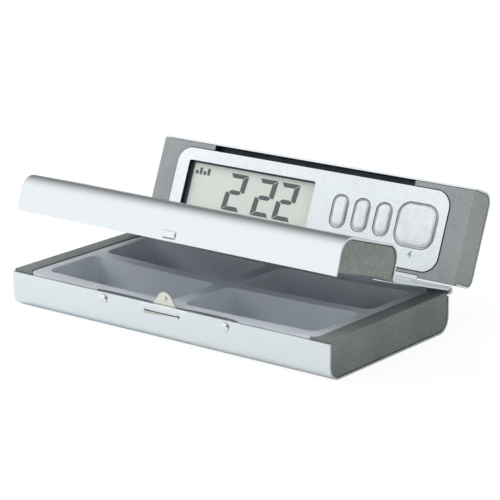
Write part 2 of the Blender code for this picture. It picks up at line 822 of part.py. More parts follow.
def lid_shell(material):
    front = -half_depth - pin_y
    rear = lid_rear - pin_y
    top = lid_top - pin_z
    web = web_under + SHEET - pin_z
    corners = [
        (front, lid_foot - pin_z),
        (front, top),
        (rear, top),
        (rear, web),
        (-knuckle_outer - SWING_GAP, web),
    ]
    radii = [0, LID_FRONT_RADIUS, LID_REAR_RADIUS, LID_FOOT_RADIUS - SHEET, 0]
    outline = bent_sheet(corners, radii, SHEET)
    shell = plate("lid_shell", outline, -half_length, half_length, "YZ", material)
    join(shell, *both_sides(lid_curl(), clock_knuckle_end + KNUCKLE_SIDE_GAP, half_length))
    join(shell, cutter_plate(catch_outline(CATCH_SHEET), front - CATCH_RISE, front + SHEET / 2, "XZ"))
    nest = cutter_plate(catch_outline(), front - CATCH_RISE + CATCH_SHEET, front + SHEET + OVERRUN, "XZ")
    return shade_round(cut(shell, nest))


def lid_end_cap(name, side, material):
    front = -inner_wall - pin_y + SEAT_GAP
    rear = lid_rear - SHEET - SEAT_GAP - pin_y
    foot = lid_foot + LID_CAP_LIFT - pin_z
    top = lid_top - SHEET - SEAT_GAP - pin_z
    corners = [(front, foot), (front, top), (rear, top), (rear, foot)]
    inset = SHEET + SEAT_GAP
    radii = [0, LID_FRONT_RADIUS - inset, LID_REAR_RADIUS - inset, 0]
    outline = rounded_path(corners, radii, BEND_STEPS)
    arch = []
    for i in range(1, BEND_STEPS):
        share = i / BEND_STEPS
        arch.append((rear + (front - rear) * share, foot + LID_CAP_ARCH * math.sin(math.pi * share)))
    outer = half_length - CAP_INSET
    low, high = sorted((side * outer, side * (outer - LID_CAP_THICKNESS)))
    cap = plate(name, outline + arch, low, high, "YZ", material)
    return soften(shade_round(cap), CAP_EDGE, segments=1, angle=70)


# Clock leaf, about the pin's axis and upright, face to the front

def clock_back_cover(material):
    corners = [
        (FACE_OFFSET + WRAP_SETBACK, clock_far),
        (clock_back, clock_far),
        (clock_back, CLOCK_ROOT),
        (foot_wrap, CLOCK_ROOT),
    ]
    radii = [0, CLOCK_BACK_RADIUS, CLOCK_ROOT_RADIUS, 0]
    outline = bent_sheet(corners, radii, SHEET)
    cover = plate("clock_back_cover", outline, -half_length, half_length, "YZ", material)
    join(cover, *both_sides(clock_curl(), clock_knuckle_start, clock_knuckle_end))
    hole = circle((window_middle, cell_height), door_radius + TRIM_GAP)
    cut(cover, cutter_plate(hole, clock_back - SHEET - OVERRUN, clock_back + OVERRUN, "XZ"))
    return shade_round(cover)


def clock_frame(material):
    inset = SHEET + TRIM_GAP
    low = CLOCK_ROOT + inset
    high = clock_far - inset
    corners = [
        (FACE_OFFSET, high),
        (frame_back, high),
        (frame_back, low),
        (lip_back, low),
        (lip_back, CLOCK_ROOT),
        (FACE_OFFSET, CLOCK_ROOT),
    ]
    radii = [0, CLOCK_BACK_RADIUS - inset, CLOCK_ROOT_RADIUS - inset, 0, 0, 0]
    outer = half_length - CAP_INSET
    frame = plate("clock_frame", rounded_path(corners, radii, BEND_STEPS), -outer, outer, "YZ", material)
    inside = rounded_rectangle((-cavity_half, cavity_foot), (cavity_half, cavity_top), CAVITY_CORNER)
    cavity = cutter_plate(inside, ledge_back, frame_back + OVERRUN, "XZ")
    opening = cutter_plate(panel_outline(-LEDGE_RIM), FACE_OFFSET - OVERRUN, ledge_back + OVERRUN, "XZ")
    seat = cutter_plate(panel_outline(TRIM_GAP), FACE_OFFSET - OVERRUN, lcd_front, "XZ")
    half_grip = panel_half_length - GRIP_MARGIN
    grip = cutter_block(
        (-half_grip, FACE_OFFSET - OVERRUN, panel_head - TRIM_GAP),
        (half_grip, FACE_OFFSET + GRIP_DEPTH, clock_far + OVERRUN))
    notch = rectangle((FACE_OFFSET - OVERRUN, CLOCK_ROOT - OVERRUN), (lip_back + OVERRUN, low))
    side_gap = KNUCKLE_SIDE_GAP / 2
    notches = both_sides(notch, clock_knuckle_start - side_gap, clock_knuckle_end + side_gap)
    pilots = []
    for x, u in screw_places():
        pilots.append(cutter_plate(circle((x, u), SCREW_RADIUS + PIN_CLEARANCE, ROUND_STEPS // 2),
                                   ledge_back - SCREW_LENGTH - PIN_CLEARANCE, ledge_back + OVERRUN, "XZ"))
    return shade_round(cut(frame, cavity, opening, seat, grip, *notches, *pilots))


def panel_outline(margin=0):
    half = panel_half_length + margin
    return rounded_rectangle((-half, panel_foot - margin), (half, panel_head + margin), PANEL_CORNER + margin)


def button_outline(place, width, length, corner, margin=0):
    size = (width + 2 * margin, length + 2 * margin)
    return centred_rectangle((place, button_centre), *size, corner + margin)


def button_shapes():
    corner = SMALL_BUTTON_WIDTH / 2 - BUTTON_EDGE
    shapes = {}
    for index, name in enumerate(("mode_button", "set_button", "adjust_button")):
        place = first_button_place + index * button_pitch
        shapes[name] = (place, SMALL_BUTTON_WIDTH, SMALL_BUTTON_LENGTH, corner)
    large = (light_button_place, LARGE_BUTTON_WIDTH, LARGE_BUTTON_LENGTH, LARGE_BUTTON_CORNER)
    shapes["light_button"] = large
    return shapes


def face_panel(material):
    window = rounded_rectangle((window_left, window_foot), (window_right, window_head),
                               LCD_WINDOW_CORNER, LIP_STEPS)
    holes = [window]
    for shape in button_shapes().values():
        holes.append(button_outline(*shape, margin=TRIM_GAP))
    return shade_round(plate("face_panel", panel_outline(), panel_front, panel_back, "XZ", material, holes))


def button(name, shape, material):
    front = panel_front - BUTTON_PROUD
    cap = plate(name, button_outline(*shape), front, button_rear, "XZ", material)
    soften(cap, BUTTON_EDGE)
    flange = plate("cutter", button_outline(*shape, margin=FLANGE_WIDTH), panel_back + TRIM_GAP,
                   button_rear, "XZ", collection=cutters)
    return shade_round(join(cap, flange), angle=50)


def keypad_mat(material):
    shapes = button_shapes()
    low_x = first_button_place - SMALL_BUTTON_WIDTH / 2 - MAT_MARGIN
    high_x = light_button_place + LARGE_BUTTON_WIDTH / 2 + MAT_MARGIN
    reach = LARGE_BUTTON_LENGTH / 2 + MAT_MARGIN
    sheet = rounded_rectangle((low_x, button_centre - reach), (high_x, button_centre + reach), MAT_MARGIN)
    back = board_front - TRIM_GAP
    mat = plate("keypad_mat", sheet, back - MAT_THICKNESS, back, "XZ", material)
    pads = []
    for place, width, length, corner in shapes.values():
        outline = button_outline(place, width, length, corner, margin=-PAD_INSET)
        pad_front = button_rear + BUTTON_TRAVEL + PAD_GAP
        pads.append(plate("cutter", outline, pad_front, back - MAT_THICKNESS / 2, "XZ", collection=cutters))
    return shade_round(join(mat, *pads))


def lcd_glass(material):
    low = (window_left - LCD_MARGIN, lcd_front, window_foot - LCD_MARGIN)
    high = (window_right + LCD_MARGIN, lcd_back, window_head + LCD_MARGIN)
    return block("lcd_glass", low, high, material)


def backlight_panel(material):
    foot = window_foot - LCD_MARGIN + STRIP_WIDTH + 2 * TRIM_GAP
    low = (window_left - LCD_MARGIN, backlight_front, foot)
    high = (window_right + LCD_MARGIN, backlight_back, window_head + LCD_MARGIN)
    return block("backlight_panel", low, high, material)


def display_connector(material):
    # The soft striped strip that joins the display to the board
    foot = window_foot - LCD_MARGIN + TRIM_GAP
    low = (window_left, backlight_front, foot)
    high = (window_right, board_front - TRIM_GAP, foot + STRIP_WIDTH)
    return soften(block("display_connector", low, high, material), CAP_EDGE, segments=1)


def backlight_led(material):
    edge = window_right + LCD_MARGIN + TRIM_GAP
    back = board_front - TRIM_GAP
    low = (edge, back - LED_HEIGHT, window_centre - LED_SIZE / 2)
    high = (edge + LED_SIZE, back, window_centre + LED_SIZE / 2)
    return block("backlight_led", low, high, material)


def screw_places():
    places = []
    for x in (SCREW_INSET - board_half, board_half - SCREW_INSET):
        for u in (board_foot + SCREW_EDGE, board_head - SCREW_EDGE):
            places.append((x, u))
    return places


def circuit_board(material):
    outline = rectangle((-board_half, board_foot), (board_half, board_head))
    holes = [circle(place, SCREW_RADIUS + PIN_CLEARANCE, ROUND_STEPS // 2) for place in screw_places()]
    return plate("circuit_board", outline, board_front, board_back, "XZ", material, holes)


def board_screw(name, place, material):
    head = board_back + TRIM_GAP / 2
    profile = [
        (0, head + SCREW_HEAD_THICKNESS),
        (SCREW_HEAD_RADIUS * 3 / 4, head + SCREW_HEAD_THICKNESS),
        (SCREW_HEAD_RADIUS, head + SCREW_HEAD_THICKNESS / 2),
        (SCREW_HEAD_RADIUS, head),
        (SCREW_RADIUS, head),
        (SCREW_RADIUS, ledge_back - SCREW_LENGTH + PIN_CLEARANCE),
        (0, ledge_back - SCREW_LENGTH + PIN_CLEARANCE),
    ]
    screw = turned(name, profile, "Y", (place[0], 0, place[1]), material)
    return shade_round(screw)


def coin_cell(material):
    # The can with its smaller cap towards the board
    profile = [
        (0, cell_back),
        (CELL_RADIUS - CELL_RIM, cell_back),
        (CELL_RADIUS, cell_back - CELL_RIM),
        (CELL_RADIUS, cell_front + CELL_RIM),
        (CELL_RADIUS - 2 * CELL_RIM, cell_front + CELL_RIM),
        (CELL_RADIUS - 3 * CELL_RIM, cell_front),
        (0, cell_front),
    ]
    cell = turned("coin_cell", profile, "Y", (window_middle, 0, cell_height), material)
    return shade_round(cell)


def negative_contact(material):
    # A leaf that rises off the board and bears on the cell's cap
    start = window_middle - CELL_RADIUS - CONTACT_WIDTH
    base = board_back + TRIM_GAP / 2
    lift = cell_front - TRIM_GAP - CONTACT_SHEET
    path = [(window_middle + CONTACT_WIDTH, lift), (window_middle - CONTACT_WIDTH, lift),
            (start + CONTACT_WIDTH, base), (start, base)]
    return contact_strip("negative_contact", path, material)


def positive_contact(material):
    # A foot on the board and an upright finger that bears on the cell's side
    rim = window_middle + CELL_RADIUS + TRIM_GAP
    base = board_back + TRIM_GAP / 2
    path = [(rim + CONTACT_WIDTH, base), (rim, base), (rim, cell_back - CELL_RIM)]
    return contact_strip("positive_contact", path, material)


def contact_strip(name, path, material):
    # The path runs on (X, N) towards -X; the strip lies on its right and is extruded along U
    outline = bent_sheet(path, [0] * len(path), CONTACT_SHEET)
    low = cell_height - CONTACT_WIDTH / 2
    return plate(name, outline, low, low + CONTACT_WIDTH, "XY", material)


def piezo_buzzer(material):
    base = board_back + TRIM_GAP
    profile = [
        (0, base + BUZZER_THICKNESS),
        (BUZZER_RADIUS - CELL_RIM, base + BUZZER_THICKNESS),
        (BUZZER_RADIUS, base + BUZZER_THICKNESS - CELL_RIM),
        (BUZZER_RADIUS, base),
        (0, base),
    ]
    centre = (first_button_place + button_pitch, 0, cell_height)
    return shade_round(turned("piezo_buzzer", profile, "Y", centre, material))


def battery_door(material):
    # A round cover turned by a coin, with two lugs that catch behind the sheet
    profile = [
        (0, door_back),
        (door_radius - TRIM_GAP, door_back),
        (door_radius, door_back - TRIM_GAP),
        (door_radius, door_front),
        (0, door_front),
    ]
    door = turned("battery_door", profile, "Y", (window_middle, 0, cell_height), material)
    lugs = []
    lug_back = clock_back - SHEET - TRIM_GAP
    for side in (-1, 1):
        root = window_middle + side * (door_radius - OVERRUN)
        tip = window_middle + side * (door_radius + DOOR_LUG_REACH)
        low = (min(root, tip), lug_back - DOOR_LUG_THICKNESS, cell_height - DOOR_LUG_WIDTH / 2)
        high = (max(root, tip), lug_back, cell_height + DOOR_LUG_WIDTH / 2)
        lugs.append(cutter_block(low, high))
    join(door, *lugs)
    slot = centred_rectangle((window_middle, cell_height), DOOR_SLOT_LENGTH, DOOR_SLOT_WIDTH,
                             DOOR_SLOT_WIDTH / 3)
    cut(door, cutter_plate(slot, door_back - DOOR_SLOT_DEPTH, door_back + OVERRUN, "XZ"))
    return shade_round(door)


# Everything together

def build():
    aluminium = make_material("satin_aluminium", (0.82, 0.84, 0.85), 0.32, 1.0)
    cap_grey = make_material("dark_grey_plastic", (0.20, 0.21, 0.21), 0.7, 0.0)
    tray_grey = make_material("lilac_grey_plastic", (0.46, 0.48, 0.53), 0.4, 0.0)
    steel = make_material("spring_steel", (0.74, 0.73, 0.69), 0.3, 1.0)
    rivet_metal = make_material("rivet_metal", (0.8, 0.81, 0.82), 0.3, 1.0)
    pin_metal = make_material("pin_steel", (0.6, 0.61, 0.62), 0.3, 1.0)
    frame_grey = make_material("clock_frame_plastic", (0.30, 0.32, 0.33), 0.65, 0.0)
    panel_silver = make_material("silver_panel", (0.82, 0.85, 0.87), 0.45, 0.3)
    glass = make_material("display_glass", (0.62, 0.66, 0.6), 0.2, 0.0)
    diffuser = make_material("backlight_plastic", (0.85, 0.88, 0.8), 0.5, 0.0)
    rubber = make_material("connector_rubber", (0.12, 0.12, 0.13), 0.8, 0.0)
    silicone = make_material("keypad_silicone", (0.55, 0.57, 0.58), 0.75, 0.0)
    board_green = make_material("board_laminate", (0.05, 0.22, 0.1), 0.5, 0.0)
    lens = make_material("led_lens", (0.9, 0.9, 0.8), 0.3, 0.0)
    key_silver = make_material("button_plastic", (0.78, 0.81, 0.84), 0.4, 0.2)
    screw_steel = make_material("screw_steel", (0.55, 0.55, 0.56), 0.35, 1.0)
    cell_steel = make_material("cell_steel", (0.72, 0.72, 0.72), 0.25, 1.0)
    contact_metal = make_material("contact_metal", (0.75, 0.66, 0.45), 0.3, 1.0)
    brass = make_material("buzzer_brass", (0.72, 0.58, 0.32), 0.35, 1.0)

    base_shell(aluminium)
    base_end_cap("base_end_cap_left", -1, cap_grey)
    base_end_cap("base_end_cap_right", 1, cap_grey)
    pill_tray(tray_grey)
    hinge_pin(pin_metal)
    latch_rivet("latch_rivet_left", -1, rivet_metal)
    latch_rivet("latch_rivet_right", 1, rivet_metal)
    spring_y = (spring_front + spring_back) / 2
    latch_spring(steel, make_pivot("latch_pivot", (0, spring_y, spring_foot), (0, 0, 0)))

    lid_pivot = make_pivot("lid_pivot", (0, pin_y, pin_z), (math.radians(-LID_RAISED), 0, 0))
    hang(lid_pivot, lid_shell(aluminium))
    hang(lid_pivot, lid_end_cap("lid_end_cap_left", -1, cap_grey))
    hang(lid_pivot, lid_end_cap("lid_end_cap_right", 1, cap_grey))

    clock_turn = (math.radians(LID_RAISED - CLOCK_LEAN), 0, 0)
    clock_pivot = make_pivot("clock_pivot", (0, 0, 0), clock_turn, lid_pivot)
    hang(clock_pivot, clock_back_cover(aluminium), clock_frame(frame_grey), face_panel(panel_silver))
    hang(clock_pivot, lcd_glass(glass), backlight_panel(diffuser), display_connector(rubber))
    hang(clock_pivot, backlight_led(lens), keypad_mat(silicone), circuit_board(board_green))
    hang(clock_pivot, coin_cell(cell_steel), piezo_buzzer(brass), battery_door(frame_grey))
    hang(clock_pivot, negative_contact(contact_metal), positive_contact(contact_metal))
    for index, place in enumerate(screw_places()):
        hang(clock_pivot, board_screw(f"board_screw_{index + 1}", place, screw_steel))
    for name, shape in button_shapes().items():
        hang(clock_pivot, button(name, shape, key_silver))


build()
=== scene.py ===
import json
import math

import bmesh
import bpy
import numpy as np
from mathutils import Matrix, Vector


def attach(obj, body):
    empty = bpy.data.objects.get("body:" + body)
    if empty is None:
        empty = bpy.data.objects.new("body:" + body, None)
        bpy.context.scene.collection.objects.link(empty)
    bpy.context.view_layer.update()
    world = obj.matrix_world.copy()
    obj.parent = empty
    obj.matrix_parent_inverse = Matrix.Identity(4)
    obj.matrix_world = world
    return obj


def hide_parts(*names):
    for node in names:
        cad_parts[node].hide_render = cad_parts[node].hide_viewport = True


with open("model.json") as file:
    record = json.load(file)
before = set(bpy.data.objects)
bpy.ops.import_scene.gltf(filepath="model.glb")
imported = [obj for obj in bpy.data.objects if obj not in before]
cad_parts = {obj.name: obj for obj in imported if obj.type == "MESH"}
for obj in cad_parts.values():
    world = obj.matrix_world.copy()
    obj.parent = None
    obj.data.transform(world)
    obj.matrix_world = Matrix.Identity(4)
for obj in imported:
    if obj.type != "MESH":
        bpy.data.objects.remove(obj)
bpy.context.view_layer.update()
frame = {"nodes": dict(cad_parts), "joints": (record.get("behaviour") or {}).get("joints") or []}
scene = bpy.context.scene
scene.view_settings.view_transform = "Standard"
print("frame loaded")

mm = 0.001
overrun = 1 * mm  # how far a cutting tool reaches past what it cuts
slack = 0.02 * mm  # what a painted area takes in past its line
skin = 0.1 * mm  # how deep a painted area reaches
steep = 0.5  # a face whose normal has less than this along y is a side


def inMm(sizes):
    # Lengths written in millimetres: one, a tuple or a dictionary of them
    if isinstance(sizes, dict):
        return {name: inMm(size) for name, size in sizes.items()}
    if isinstance(sizes, tuple):
        return tuple(inMm(size) for size in sizes)
    return sizes * mm


# The two leaves turn on one pin. Their rest tilts come from the joints' limits: the lid's is from
# closed, the clock leaf's from upright.
joints = {joint["name"]: joint for joint in frame["joints"]}
pinY, pinZ = joints["lid_hinge"]["pos_m"][1:]
lidTilt = -joints["lid_hinge"]["range_deg"][0]
clockLean = lidTilt - joints["clock_hinge"]["range_deg"][0] - 90


def leafMatrix(tilt):
    return Matrix.Translation((0, pinY, pinZ)) @ Matrix.Rotation(math.radians(-tilt), 4, "X")


leaves = {"base": Matrix.Identity(4), "latch": Matrix.Identity(4),
          "lid": leafMatrix(lidTilt), "clock": leafMatrix(clockLean)}


# Outlines: arrays of points, worked out whole

def cornerArc(before, corner, after, radius, steps):
    # The arc of the given radius that touches both sides of a corner
    corner = np.array(corner, float)
    back = np.array(before, float) - corner
    ahead = np.array(after, float) - corner
    back /= np.linalg.norm(back)
    ahead /= np.linalg.norm(ahead)
    half = math.acos(np.clip(back @ ahead, -1, 1)) / 2
    middle = (back + ahead) / np.linalg.norm(back + ahead)
    centre = corner + middle * radius / math.sin(half)
    first = corner + back * radius / math.tan(half) - centre
    last = corner + ahead * radius / math.tan(half) - centre
    sweep = math.atan2(first[0] * last[1] - first[1] * last[0], first @ last)
    angle = math.atan2(first[1], first[0]) + sweep * np.linspace(0, 1, steps + 1)
    return centre + radius * np.stack([np.cos(angle), np.sin(angle)], -1)


def roundedPath(corners, radii, steps):
    # A line through the corners, with an arc at each that has a radius
    rows = [np.array([corners[0]], float)]
    for i in range(1, len(corners) - 1):
        if radii[i] > 0:
            rows.append(cornerArc(corners[i - 1], corners[i], corners[i + 1], radii[i], steps))
        else:
            rows.append(np.array([corners[i]], float))
    rows.append(np.array([corners[-1]], float))
    return np.vstack(rows)


def roundedRect(centre, width, height, radius, steps=12):
    x, y = centre
    w, h = width / 2, height / 2
    corners = [(x - w, y - h), (x + w, y - h), (x + w, y + h), (x - w, y + h)]
    rows = [cornerArc(corners[i - 1], corners[i], corners[(i + 1) % 4], radius, steps) for i in range(4)]
    return np.vstack(rows)


def boxLoop(low, high):
    return np.array([(low[0], low[1]), (high[0], low[1]), (high[0], high[1]), (low[0], high[1])], float)


def ringPoints(centre, radius, steps=48, start=0, end=360):
    angle = np.radians(np.linspace(start, end, steps + 1))
    if end - start == 360:
        angle = angle[:-1]
    return np.array(centre) + radius * np.stack([np.cos(angle), np.sin(angle)], -1)


def thicken(path, thickness):
    # A bent sheet's section: the path is its outer face and the sheet lies on the path's right,
    # each point moved along the mean of its two sides' normals
    step = np.diff(path, axis=0)
    step /= np.linalg.norm(step, axis=1, keepdims=True)
    side = np.stack([step[:, 1], -step[:, 0]], -1)
    before = np.vstack([side[:1], side])
    after = np.vstack([side, side[-1:]])
    shift = (before + after) / (1 + (before * after).sum(1, keepdims=True))
    return np.vstack([path, (path + shift * thickness)[::-1]])


# Solids: a closed loop carried along an axis

axisOrder = {"x": (2, 0, 1), "y": (0, 2, 1), "z": (0, 1, 2)}


def gridPoints(loops, places, axis):
    # Row i is loop i at places[i]. The loop's two coordinates fill the two other axes in order.
    loops = np.asarray(loops, float)
    along = np.broadcast_to(np.asarray(places, float)[:, None, None], loops.shape[:2] + (1,))
    return np.concatenate([loops, along], -1)[..., list(axisOrder[axis])]


def addObject(name, data):
    obj = bpy.data.objects.new(name, data)
    scene.collection.objects.link(obj)
    return obj


def gridObject(name, grid):
    # Rows of one closed loop each, joined by quads and closed at both ends
    rows, columns = grid.shape[:2]
    index = np.arange(rows * columns).reshape(rows, columns)
    across = np.roll(index, -1, axis=1)
    quads = np.stack([index[:-1], across[:-1], across[1:], index[1:]], -1).reshape(-1, 4)
    faces = quads.tolist() + [index[0][::-1].tolist(), index[-1].tolist()]
    mesh = bpy.data.meshes.new(name)
    mesh.from_pydata(grid.reshape(-1, 3).tolist(), [], faces)
    faceOut(mesh)
    return addObject(name, mesh)


def faceOut(mesh, merge=0.002 * mm):
    shape = bmesh.new()
    shape.from_mesh(mesh)
    bmesh.ops.remove_doubles(shape, verts=shape.verts, dist=merge)
    bmesh.ops.recalc_face_normals(shape, faces=shape.faces)
    shape.to_mesh(mesh)
    shape.free()


def prism(name, loop, low, high, axis):
    return gridObject(name, gridPoints([loop, loop], [low, high], axis))


def tool(loop, low, high, axis):
    return prism("tool", loop, low, high, axis)


def sideWord(side):
    return "right" if side > 0 else "left"


def turned(name, profile, centre, axis, steps=48):
    # Radius and place along the axis, carried round it
    profile = np.array(profile, float)
    angle = np.radians(np.arange(steps) * 360 / steps)
    circle = np.stack([np.cos(angle), np.sin(angle)], -1)
    loops = profile[:, :1, None] * circle[None]
    grid = gridPoints(loops, profile[:, 1], axis)
    return gridObject(name, grid + np.array(centre))


def domeProfile(radius, rise, root, steps=14):
    # Half an ellipse, from its rim at place 0 to its top at minus the rise, on a short root
    angle = np.linspace(0, math.pi / 2, steps + 1)
    cap = np.stack([radius * np.cos(angle), -rise * np.sin(angle)], -1)
    return np.vstack([[(0, root), (radius, root)], cap])


def combine(target, tools, operation):
    for part in tools:
        step = target.modifiers.new(operation, "BOOLEAN")
        step.operation = operation
        step.object = part
    bpy.context.view_layer.update()
    graph = bpy.context.evaluated_depsgraph_get()
    finished = bpy.data.meshes.new_from_object(target.evaluated_get(graph))
    target.modifiers.clear()
    target.data = finished
    for part in tools:
        bpy.data.objects.remove(part, do_unlink=True)


def cut(target, *tools):
    combine(target, tools, "DIFFERENCE")


def join(target, *tools):
    combine(target, tools, "UNION")


def smoothEdges(obj, width, segments=2, angle=35):
    if width > 0:
        bevel = obj.modifiers.new("Edges", "BEVEL")
        bevel.width = width
        bevel.segments = segments
        bevel.limit_method = "ANGLE"
        bevel.angle_limit = math.radians(angle)
        bevel.miter_outer = "MITER_ARC"
    obj.data.shade_smooth()
    if width <= 0:
        obj.data.set_sharp_from_angle(angle=math.radians(angle))
    weighted = obj.modifiers.new("Flat faces stay flat", "WEIGHTED_NORMAL")
    weighted.keep_sharp = True


def settle(obj, leaf, materials, replaced=(), body=None):
    # Puts the finished mesh in its leaf's rest place, with its finish and body, and hides the model pieces
    # it replaces
    obj.data.transform(leaves[leaf])
    obj.data.materials.clear()
    for material in materials:
        obj.data.materials.append(material)
    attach(obj, body or leaf)
    if replaced:
        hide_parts(*replaced)


def settlePainted(obj, leaf, materials, test, replaced, body=None):
    # The test on the faces' centres and normals, in the leaf's own coordinates, gives each its
    # material's number. It is made before the piece takes its place.
    count = len(obj.data.polygons)
    centres = np.empty(count * 3)
    normals = np.empty(count * 3)
    obj.data.polygons.foreach_get("center", centres)
    obj.data.polygons.foreach_get("normal", normals)
    chosen = test(centres.reshape(-1, 3), normals.reshape(-1, 3))
    settle(obj, leaf, materials, replaced, body)
    obj.data.polygons.foreach_set("material_index", chosen.astype(np.int32))


# Shared effects, each a group built once

def makeGroup(name, inputs, outputs):
    tree = bpy.data.node_groups.new(name, "ShaderNodeTree")
    for label, kind, value in inputs:
        socket = tree.interface.new_socket(label, in_out="INPUT", socket_type="NodeSocket" + kind)
        socket.default_value = value
    for label, kind in outputs:
        tree.interface.new_socket(label, in_out="OUTPUT", socket_type="NodeSocket" + kind)
    return tree, tree.nodes.new("NodeGroupInput").outputs, tree.nodes.new("NodeGroupOutput").inputs


def feed(socket, value):
    # Another node's output is linked to the socket, anything else is its value
    if isinstance(value, bpy.types.NodeSocket):
        socket.id_data.links.new(value, socket)
    else:
        socket.default_value = value


def feedNamed(node, **byName):
    for key, value in byName.items():
        feed(node.inputs[key.replace("_", " ")], value)


def addNode(tree, kind, *inOrder, settings=None, **byName):
    node = tree.nodes.new("ShaderNode" + kind)
    for key, value in (settings or {}).items():
        setattr(node, key, value)
    for socket, value in zip(node.inputs, inOrder):
        feed(socket, value)
    feedNamed(node, **byName)
    return node


def maths(tree, operation, *values):
    return addNode(tree, "Math", *values, settings={"operation": operation}).outputs[0]


def mixColours(tree, share, first, second, blend="MIX"):
    # Sockets 6 and 7 are the two colours, output 2 is their mix
    mixed = addNode(tree, "Mix", share, settings={"data_type": "RGBA", "blend_type": blend})
    feed(mixed.inputs[6], first)
    feed(mixed.inputs[7], second)
    return mixed.outputs[2]


def makeEffect(name, *inputs, outputs=("Tone", "Height")):
    given = [("Vector", "Vector", (0, 0, 0)), *inputs]
    return makeGroup(name, given, [(output, "Float") for output in outputs])


def addNoise(tree, given, detail, roughness):
    return addNode(tree, "TexNoise", Vector=given["Vector"], Scale=given["Scale"], Detail=detail,
                   Roughness=roughness).outputs["Fac"]


noiseGain = 4.0  # noise seldom strays more than a quarter from its middle
toneRange = (0.9, 1.1)  # the tones between which a finish goes from its low to its high roughness


def giveTone(tree, given, made, noise):
    # The noise becomes a tone that swings about 1 by the amount
    swing = maths(tree, "MULTIPLY", maths(tree, "SUBTRACT", noise, 0.5), given["Amount"])
    feed(made["Tone"], maths(tree, "MULTIPLY_ADD", swing, noiseGain, 1.0))


def toneGroup():
    # Soft light and dark patches
    tree, given, made = makeEffect("soft tone", ("Scale", "Float", 100), ("Amount", "Float", 0.03),
                                   outputs=["Tone"])
    giveTone(tree, given, made, addNoise(tree, given, 3.0, 0.55))
    return tree


def grainGroup():
    # Fine grain: a tone and a height from one small noise
    tree, given, made = makeEffect("fine grain", ("Scale", "Float", 5000), ("Amount", "Float", 0.05))
    noise = addNoise(tree, given, 2.0, 0.6)
    giveTone(tree, given, made, noise)
    feed(made["Height"], noise)
    return tree


def pebbleGroup():
    # Moulded texture: rounded pits of a few tenths of a millimetre, with finer noise in them
    tree, given, made = makeEffect("moulded texture", ("Scale", "Float", 3000), ("Amount", "Float", 0.1))
    cells = addNode(tree, "TexVoronoi", settings={"feature": "SMOOTH_F1"}, Vector=given["Vector"],
                    Scale=given["Scale"], Smoothness=0.6)
    noise = addNoise(tree, given, 4.0, 0.65)
    giveTone(tree, given, made, noise)
    feed(made["Height"], maths(tree, "ADD", cells.outputs["Distance"], noise))
    return tree


def brushGroup():
    # Long fine lines: noise squeezed across the brushing and stretched along it
    stretch = ("Stretch", "Vector", (1, 1, 1))
    tree, given, made = makeEffect("brush lines", stretch, ("Amount", "Float", 0.05))
    stretched = addNode(tree, "VectorMath", given["Vector"], given["Stretch"],
                        settings={"operation": "MULTIPLY"}).outputs[0]
    noise = addNode(tree, "TexNoise", Vector=stretched, Scale=1.0, Detail=3.0, Roughness=0.6).outputs["Fac"]
    giveTone(tree, given, made, noise)
    feed(made["Height"], noise)
    return tree


dustColour = (0.75, 0.74, 0.72, 1)


def dustGroup():
    # A thin haze where a surface faces up, broken by noise
    tree, given, made = makeEffect("resting dust", ("Amount", "Float", 0.05), outputs=["Mask"])
    split = addNode(tree, "SeparateXYZ", addNode(tree, "NewGeometry").outputs["Normal"])
    noise = addNode(tree, "TexNoise", Vector=given["Vector"], Scale=700.0, Detail=6.0, Roughness=0.7)
    upward = maths(tree, "MAXIMUM", split.outputs["Z"], 0.0)
    broken = maths(tree, "MULTIPLY", upward, noise.outputs["Fac"])
    feed(made["Mask"], maths(tree, "MULTIPLY", broken, given["Amount"]))
    return tree


effects = {"tone": toneGroup(), "grain": grainGroup(), "pebble": pebbleGroup(), "brush": brushGroup(),
           "dust": dustGroup()}


def place(tree, name, *values):
    # The values are the group's inputs in order: the vector, how fine it is, and its amount
    node = tree.nodes.new("ShaderNodeGroup")
    node.node_tree = effects[name]
    for socket, value in zip(node.inputs, values):
        feed(socket, value)
    return node.outputs


def newMaterial(name):
    material = bpy.data.materials.new(name)
    material.use_nodes = True
    return material, material.node_tree, material.node_tree.nodes["Principled BSDF"]


def makeFinish(name, colour, roughness, metallic=0.0, depth=0.0, bumpStrength=0.6, coat=0.0,
               coatRoughness=0.1, dust=0.0, **textures):
    # One Principled shader: a colour with its textures' tones, their heights as bump of a depth in
    # millimetres, and dust
    material, tree, shader = newMaterial(name)
    vector = addNode(tree, "TexCoord").outputs["Object"]
    placed = [place(tree, effect, vector, *textures[effect]) for effect in effects if effect in textures]
    tone = placed[0]["Tone"]
    for outputs in placed[1:]:
        tone = maths(tree, "MULTIPLY", tone, outputs["Tone"])
    shade = mixColours(tree, 1.0, (*colour, 1), tone, "MULTIPLY")
    if dust:
        mask = place(tree, "dust", vector, dust)["Mask"]
        shade = mixColours(tree, mask, shade, dustColour)
    rough = addNode(tree, "MapRange", tone, *toneRange, *roughness)
    feedNamed(shader, Base_Color=shade, Roughness=rough.outputs["Result"], Metallic=metallic,
              Coat_Weight=coat, Coat_Roughness=coatRoughness)
    heights = [outputs["Height"] for outputs in placed if "Height" in outputs]
    if heights and depth:
        height = heights[0]
        for other in heights[1:]:
            height = maths(tree, "ADD", height, other)
        bump = addNode(tree, "Bump", Strength=bumpStrength, Distance=depth * mm, Height=height)
        feedNamed(shader, Normal=bump.outputs["Normal"])
    return material


print("effects made")

